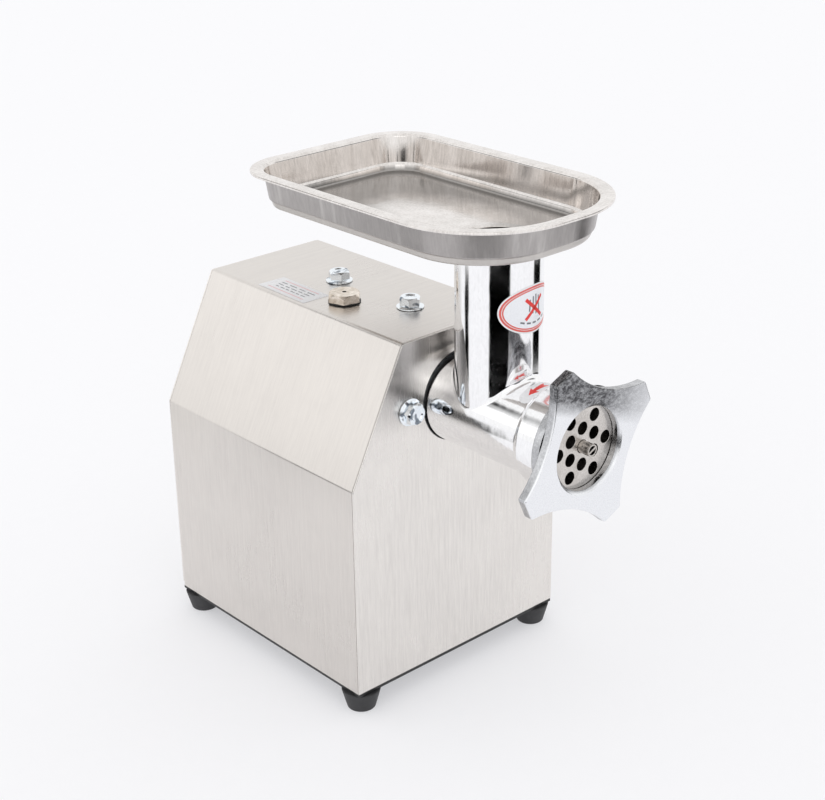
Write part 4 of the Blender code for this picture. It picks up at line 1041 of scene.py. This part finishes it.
def build_tray():
    """The pressed tray: rim, stepped wall, floor, and the neck that drops into the feed tube."""
    rim = TRAY_HIGH.z
    lip = TRAY_HALF - TRAY_HIGH.x
    line = [
        (lip / MM + 0.5, -1.9),
        (lip / MM + 0.5, -0.5),
        (-0.2, -0.5),
        (3.2, -22.6),
        (4.8, -23.8),
        (6.3, -TRAY_DEPTH / MM),
        (TRAY_FLOOR_INSET / MM, -TRAY_DEPTH / MM),
    ]
    line = soften(line, [0, 1.3, 2.2, 1.2, 1.2, 2.6, 0], 5, closed=False)
    half = TRAY_SHEET / MM / 2
    outer, inner = [], []
    for index, point in enumerate(line):
        before = Vector(line[max(index - 1, 0)])
        after = Vector(line[min(index + 1, len(line) - 1)])
        along = (after - before).normalized()
        across = Vector((along.y, -along.x)) * half
        outer.append((point[0] + across.x, point[1] + across.y))
        inner.append((point[0] - across.x, point[1] - across.y))
    neck_outer = TRAY_NECK + TRAY_SHEET
    floor_low = rim - TRAY_DEPTH - TRAY_SHEET / 2
    floor_high = floor_low + TRAY_SHEET
    neck_end = TRAY_LOW.z

    def ring_of(radius, level):
        return [(*polar(radius, math.atan2(y, x)), level) for x, y in tray_outline(TRAY_FLOOR_INSET)]

    def rim_row(point):
        return [(x, y, rim + point[1] * MM) for x, y in tray_outline(point[0] * MM)]

    rows = [rim_row(point) for point in inner]
    for out, down in ((2.5, 0), (0.7, 0.7), (0, 2.5)):
        rows.append(ring_of(TRAY_NECK + out * MM, floor_high - down * MM))
    rows += [ring_of(TRAY_NECK, neck_end), ring_of(neck_outer, neck_end), ring_of(neck_outer, floor_low)]
    first_outside = len(rows) - 1
    rows += [rim_row(point) for point in outer[::-1]]
    bm = skin(rows, closed_loop=True)
    columns = len(rows[0])
    bm.faces.ensure_lookup_table()
    lip_rows = 10
    last_outside = len(rows) - lip_rows
    for index, face in enumerate(bm.faces):
        face.material_index = int(first_outside <= index // columns < last_outside)
    made = piece("tray_shell", bm, "tray", "tray_steel", TO_FEED, ["hopper_tray"], angle=50)
    made.data.materials.append(FINISHES["tray_outside"])


# Fittings -----------------------------------------------------------------------------------


def hex_head(flats, low, high, chamfer, dish=0.0):
    """A hexagon head whose upper corners are turned off by a cone. Its top can be dished."""
    steps = 12
    corner = flats / 2 / math.cos(math.pi / 6)
    rows = []
    sides = 6 * steps
    angles = [math.tau * index / sides for index in range(sides)]

    def hex_radius(angle):
        local = (angle + math.pi / 6) % (math.pi / 3) - math.pi / 6
        return flats / 2 / math.cos(local)

    top_circle = flats / 2 - 0.4 * MM
    fall = chamfer / (corner - top_circle)
    rows.append([(*polar(hex_radius(a), a), low) for a in angles])
    edge = []
    for a in angles:
        radius = hex_radius(a)
        edge.append((*polar(radius, a), high - max(radius - top_circle, 0) * fall))
    rows.append(edge)
    rows.append([(*polar(top_circle, a), high) for a in angles])
    if dish:
        rows.append([(*polar(top_circle * 0.72, a), high) for a in angles])
        rows.append([(*polar(top_circle * 0.6, a), high - dish) for a in angles])
    rows.append([(*polar(0.4 * MM, a), high - dish) for a in angles])
    return skin(rows, caps=True)


def flange_bolt():
    """A flange bolt's head above Z = 0: a thin flange, its cone and a dished hexagon."""
    flange = [(0, 0), (10.9, 0), (10.9, 1), (8.4, 2.2), (0, 2.2)]
    flange = soften(flange, [0, 0.25, 0.4, 0.6, 0], 3, closed=False)
    washer = turned(in_mm(flange), SMALL_ROUND)
    return joined([washer, hex_head(15.4 * MM, 1.4 * MM, 8.7 * MM, 1.6 * MM, 0.9 * MM)])


def build_bolts():
    """Two bolts stand on the roof and two face forward, each turned its own way."""
    turns = {"roof_bolt_front": 0.2, "roof_bolt_rear": 0.55, "front_bolt_left": 0.35, "front_bolt_right": 0.8}
    for name, turn in turns.items():
        low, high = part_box(name)
        if name.startswith("roof"):
            place = middle_of(name, z=high.z - BOLT_HEIGHT)
        else:
            place = middle_of(name, y=low.y + BOLT_HEIGHT) @ FORWARD
        piece(f"{name}_head", flange_bolt(), "cabinet", "zinc", place @ spin(turn), [name])


def build_plug():
    """The vented filler plug on its sealing washer."""
    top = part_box("oil_plug")[1].z
    place = middle_of("oil_plug", z=top - PLUG_HEIGHT) @ spin(math.radians(17))
    washer = soften(rectangle((0, 0), (12.9, 1)), [0, 0.3, 0.4, 0], 3, closed=False)
    piece("plug_washer", turned(in_mm(washer), SMALL_ROUND), "cabinet", "black_steel", place)
    head = hex_head(24 * MM, 1 * MM, 7.6 * MM, 2.4 * MM)
    made = piece("plug_head", head, "cabinet", "plug_brass", place, ["oil_plug"])
    cut(made, turned(in_mm([(0, 3), (1.7, 3), (1.7, 12), (0, 12)]), SMALL_ROUND), place)


def build_feet():
    """Rubber feet, waisted a little and rounded where they stand."""
    for hand in ("left", "right"):
        for end in ("front", "rear"):
            name = f"foot_{hand}_{end}"
            low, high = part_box(name)
            top = (high.x - low.x) / 2
            height = high.z - low.z
            bottom = top - FOOT_TAPER
            profile = [(0, height), (top, height), (bottom, 0)]
            profile += [(5.8 * MM, 0), (5.8 * MM, 9 * MM), (0, 9 * MM)]
            radii = [0, 0.8 * MM, 1.6 * MM, 0.6 * MM, 0.4 * MM, 0]
            shape = turned(soften(profile, radii, 4, closed=False), SMALL_ROUND)
            place = middle_of(name, z=low.z)
            piece(f"{name}_rubber", shape, "cabinet", "foot_rubber", place, [name])


# Stickers -----------------------------------------------------------------------------------


def flat_patch(outline, lift, cell=1.5 * MM):
    """A filled outline, cut into narrow strips so that it can be bent round a tube."""
    bm = bmesh.new()
    bm.faces.new([bm.verts.new((x, y, lift)) for x, y in outline])
    low = min(x for x, _ in outline)
    high = max(x for x, _ in outline)
    cuts = int((high - low) / cell)
    for index in range(1, cuts):
        level = low + (high - low) * index / cuts
        geometry = bm.verts[:] + bm.edges[:] + bm.faces[:]
        bmesh.ops.bisect_plane(bm, geom=geometry, plane_co=(level, 0, 0), plane_no=(1, 0, 0))
    return bm


def ellipse(across, along, count=72):
    return [(across * x, along * y) for x, y in circle(1, count)]


def bar(centre, length, width, turn):
    corners = rectangle((-length / 2, -width / 2), (length / 2, width / 2))
    c, s = polar(1, turn)
    return [(centre[0] + x * c - y * s, centre[1] + x * s + y * c) for x, y in corners]


def wrap_round(bm, radius):
    """Bends a flat patch round Z: its X runs round the tube and its Y runs up it."""
    for vert in bm.verts:
        reach = radius + vert.co.z
        angle = -math.pi / 2 + vert.co.x / radius
        vert.co = Vector((*polar(reach, angle), vert.co.y))
    return bm


def sticker(name, outline, finish, level, place, bend=None):
    """One printed layer, bent round the head or flat on the cabinet, a little above the level below."""
    bm = flat_patch(outline, STICKER_LIFT + PRINT_LIFT * level)
    if bend:
        piece(name, wrap_round(bm, bend), "head", "polished_casting", place, finish=finish)
    else:
        piece(name, bm, "cabinet", "cabinet_steel", place, finish=finish)


def build_tube_sticker():
    """An oval badge on the tube: a red ring round plain abstract strokes."""
    place = Matrix.Translation((0, 0, BADGE_Z)) @ TO_FEED @ spin(math.radians(6))
    layers = [
        ("badge_paper", ellipse(30 * MM, 18.2 * MM), WHITE_PAPER, 0),
        ("badge_ring", ellipse(28.8 * MM, 17 * MM), ROSE_INK, 1),
        ("badge_gap", ellipse(27.2 * MM, 15.6 * MM), WHITE_PAPER, 2),
        ("badge_inner_ring", ellipse(26.7 * MM, 15.2 * MM), ROSE_INK, 3),
        ("badge_field", ellipse(25.6 * MM, 14.2 * MM), BLUE_PAPER, 4),
    ]
    for name, turn in (("rising", 42), ("falling", -42)):
        outline = bar((0, 0.5 * MM), 23 * MM, 2.6 * MM, math.radians(turn))
        layers.append((f"badge_stroke_{name}", outline, RED_INK, 6))
    for index, height in enumerate((9, 13, 15, 12)):
        across = (index - 1.5) * 3.2 * MM
        outline = bar((across, 3 * MM), height * MM, 1.3 * MM, math.radians(86 + 3 * index))
        layers.append((f"badge_bar_{index + 1}", outline, GREY_INK, 5))
    for index in range(5):
        lean = math.radians((index - 2) * 9)
        centre = ((index - 2) * 5.6 * MM, (-10.6 + 0.45 * (index - 2) ** 2) * MM)
        layers.append((f"badge_dash_{index + 1}", bar(centre, 3.8 * MM, 1.3 * MM, lean), GREY_INK, 5))
    for name, outline, finish, level in layers:
        sticker(name, outline, finish, level, place, FEED_RADIUS)


def build_barrel_sticker():
    """A small white tab over the barrel's top with a red arrow, which shows the way to unscrew."""
    place = TO_AXIS @ Matrix.Translation((0, 0, ARROW_FORWARD)) @ spin(math.radians(180 + 12))
    tab = soften(rectangle((-15.5 * MM, -6.2 * MM), (15.5 * MM, 6.2 * MM)), 6 * MM, 8)
    arrow = [(-8, 0), (-1, 4.2), (-1.8, 1.4), (11, 2.8), (8, 0), (11, -2.8), (-1.8, -1.4), (-1, -4.2)]
    arrow = [(-x * MM, y * MM) for x, y in arrow]
    sticker("arrow_tab", tab, WHITE_PAPER, 0, place, BARREL_RADIUS)
    sticker("arrow_mark", arrow[::-1], RED_INK, 1, place, BARREL_RADIUS)


def build_roof_label():
    """A white rating label whose lines are plain dashes."""
    place = Matrix.Translation((LABEL_X, FRONT_Y + LABEL_BACK, WRAP_HIGH.z)) @ spin(math.radians(88.5))
    sticker("label_paper", rectangle((-30 * MM, -13 * MM), (30 * MM, 13 * MM)), WHITE_PAPER, 0, place)
    number = 0
    rows = [(8.5, PINK_INK, 44, 1), (4.5, GREY_INK, 46, 4), (0.5, GREY_INK, 42, 5)]
    rows += [(-3.5, GREY_INK, 40, 6), (-8, PINK_INK, 46, 1)]
    for height, ink, length, dashes in rows:
        step = length / dashes
        for index in range(dashes):
            number += 1
            span = step * (0.62 if index % 2 else 0.8) if dashes > 1 else step
            centre = ((-length / 2 + step * (index + 0.5)) * MM, -height * MM)
            sticker(f"label_dash_{number}", bar(centre, span * MM, 1.1 * MM, 0), ink, 1, place)


# Scene --------------------------------------------------------------------------------------


def build_camera():
    azimuth = math.radians(CAMERA_AZIMUTH)
    elevation = math.radians(CAMERA_ELEVATION)
    level = math.cos(elevation)
    back = Vector((math.sin(azimuth) * level, -math.cos(azimuth) * level, math.sin(elevation)))
    turn = back.to_track_quat("Z", "Y").to_matrix().to_4x4()
    data = bpy.data.cameras.new("camera")
    data.lens = CAMERA_LENS
    camera = placed("camera", data)
    roll = Matrix.Rotation(math.radians(CAMERA_ROLL), 4, "Z")
    camera.matrix_world = Matrix.Translation(CAMERA_PLACE) @ turn @ roll
    bpy.context.scene.camera = camera


def area_light(name, place, target, size, power):
    data = bpy.data.lights.new(name, "AREA")
    data.shape = "RECTANGLE"
    data.size = size[0]
    data.size_y = size[1]
    data.energy = power
    light = placed(name, data)
    light.location = place
    light.rotation_euler = (Vector(target) - Vector(place)).to_track_quat("-Z", "Y").to_euler()


def reflection_card(name, middle, bearings, radius, heights, shade, soft):
    """A curved card seen only in reflections, like a gap between a studio's soft boxes.

    It fades into the bright surround over a share, soft, of its width and height.
    """
    columns = 32
    levels = 12

    def cover(share):
        return min(1.0, min(share, 1 - share) / soft)

    rows = []
    weights = []
    for level in range(levels + 1):
        up = level / levels
        row = []
        for column in range(columns + 1):
            along = column / columns
            angle = math.radians(bearings[0] + (bearings[1] - bearings[0]) * along)
            x, y = polar(radius, angle)
            row.append((middle[0] + x, middle[1] + y, heights[0] + (heights[1] - heights[0]) * up))
            weights.append(cover(up) * cover(along))
        rows.append(row)
    mesh = mesh_of(name, skin(rows, closed_rows=False))
    tones = mesh.color_attributes.new("tone", "FLOAT_COLOR", "POINT")
    for index, weight in enumerate(weights):
        tone = 1 + (shade - 1) * weight
        tones.data[index].color = (tone, tone, tone, 1)
    finish = Finish(name, (0, 0, 0), 1, 0)
    finish.set("Specular IOR Level", 0)
    finish.set("Emission Strength", 1)
    reader = finish.node("Attribute")
    reader.attribute_name = "tone"
    finish.link(reader.outputs["Color"], finish.shader.inputs["Emission Color"])
    mesh.materials.append(finish.material)
    card = placed(name, mesh)
    card.visible_camera = False
    card.visible_diffuse = False
    card.visible_shadow = False


def build_studio():
    """Pale floor, an even bright surround, two soft lights and gaps for the polished metal."""
    bpy.context.scene.view_settings.view_transform = "Standard"
    world = bpy.data.worlds.new("studio")
    bpy.context.scene.world = world
    world.use_nodes = True
    surround = world.node_tree.nodes["Background"]
    surround.inputs["Color"].default_value = (1.0, 1.0, 1.0, 1)
    surround.inputs["Strength"].default_value = 1.0

    reach = 8
    thickness = 0.02
    mesh = mesh_of("floor", prism(rectangle((-reach, -reach), (reach, reach)), -thickness, 0))
    finish = Finish("light_table", (0.5, 0.5, 0.51), 0.85, 0)
    grain = finish.noise(60, detail=3)
    finish.colour(finish.blend(grain, (0.495, 0.495, 0.5), (0.505, 0.505, 0.51)))
    finish.set("Emission Color", (0.97, 0.97, 1, 1))
    finish.set("Emission Strength", 0.46)
    finish.set("Specular IOR Level", 0.2)
    mesh.materials.append(finish.material)
    placed("floor", mesh)

    target = (0, 0, 0.15)
    area_light("key_light", (-1.25, 1.35, 1.05), target, (1.5, 1.1), 1.2)
    area_light("front_light", (-1.25, -1.25, 1.15), target, (1.2, 0.5), 1.1)
    tube = (0, FRONT_Y - FEED_FORWARD)
    tray = (0, (TRAY_LOW.y + TRAY_HIGH.y) / 2)
    reflection_card("camera_gap", tube, (199, 254), 0.55, (0.02, 0.23), 0.0, 0.06)
    reflection_card("side_gap", tube, (321, 353), 0.6, (0.03, 0.2), 0.0, 0.12)
    reflection_card("left_line", tube, (129, 145), 0.5, (0.05, 0.215), 0.0, 0.2)
    reflection_card("left_shade", tube, (60, 120), 0.52, (0.05, 0.215), 0.5, 0.3)
    reflection_card("left_room", tray, (108, 158), 0.42, (0.46, 0.64), 0.0, 0.4)
    reflection_card("right_room", tray, (290, 345), 0.42, (0.46, 0.64), 0.0, 0.35)


def finish_frame_nodes():
    """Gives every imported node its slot's finish, and the two panels their own."""
    for name, node in frame["nodes"].items():
        finish = FINISHES[NODE_SLOTS[name]]
        if name == "front_panel":
            finish = LIT_FACE_STEEL
        elif name == "rear_panel":
            finish = LIT_REAR_STEEL
        for slot in node.material_slots:
            slot.material = finish


NODE_SLOTS = {row["node"]: row["material_slot"] for row in frame["record"]["subparts"]}

build_camera()
finish_frame_nodes()
build_wrap()
build_front_panel()
build_rear_panel()
build_barrel()
build_feed_tube()
build_ring_nut()
build_plate()
build_auger_pin()
build_tray()
build_bolts()
build_plug()
build_feet()
build_tube_sticker()
build_barrel_sticker()
build_roof_label()
build_studio()
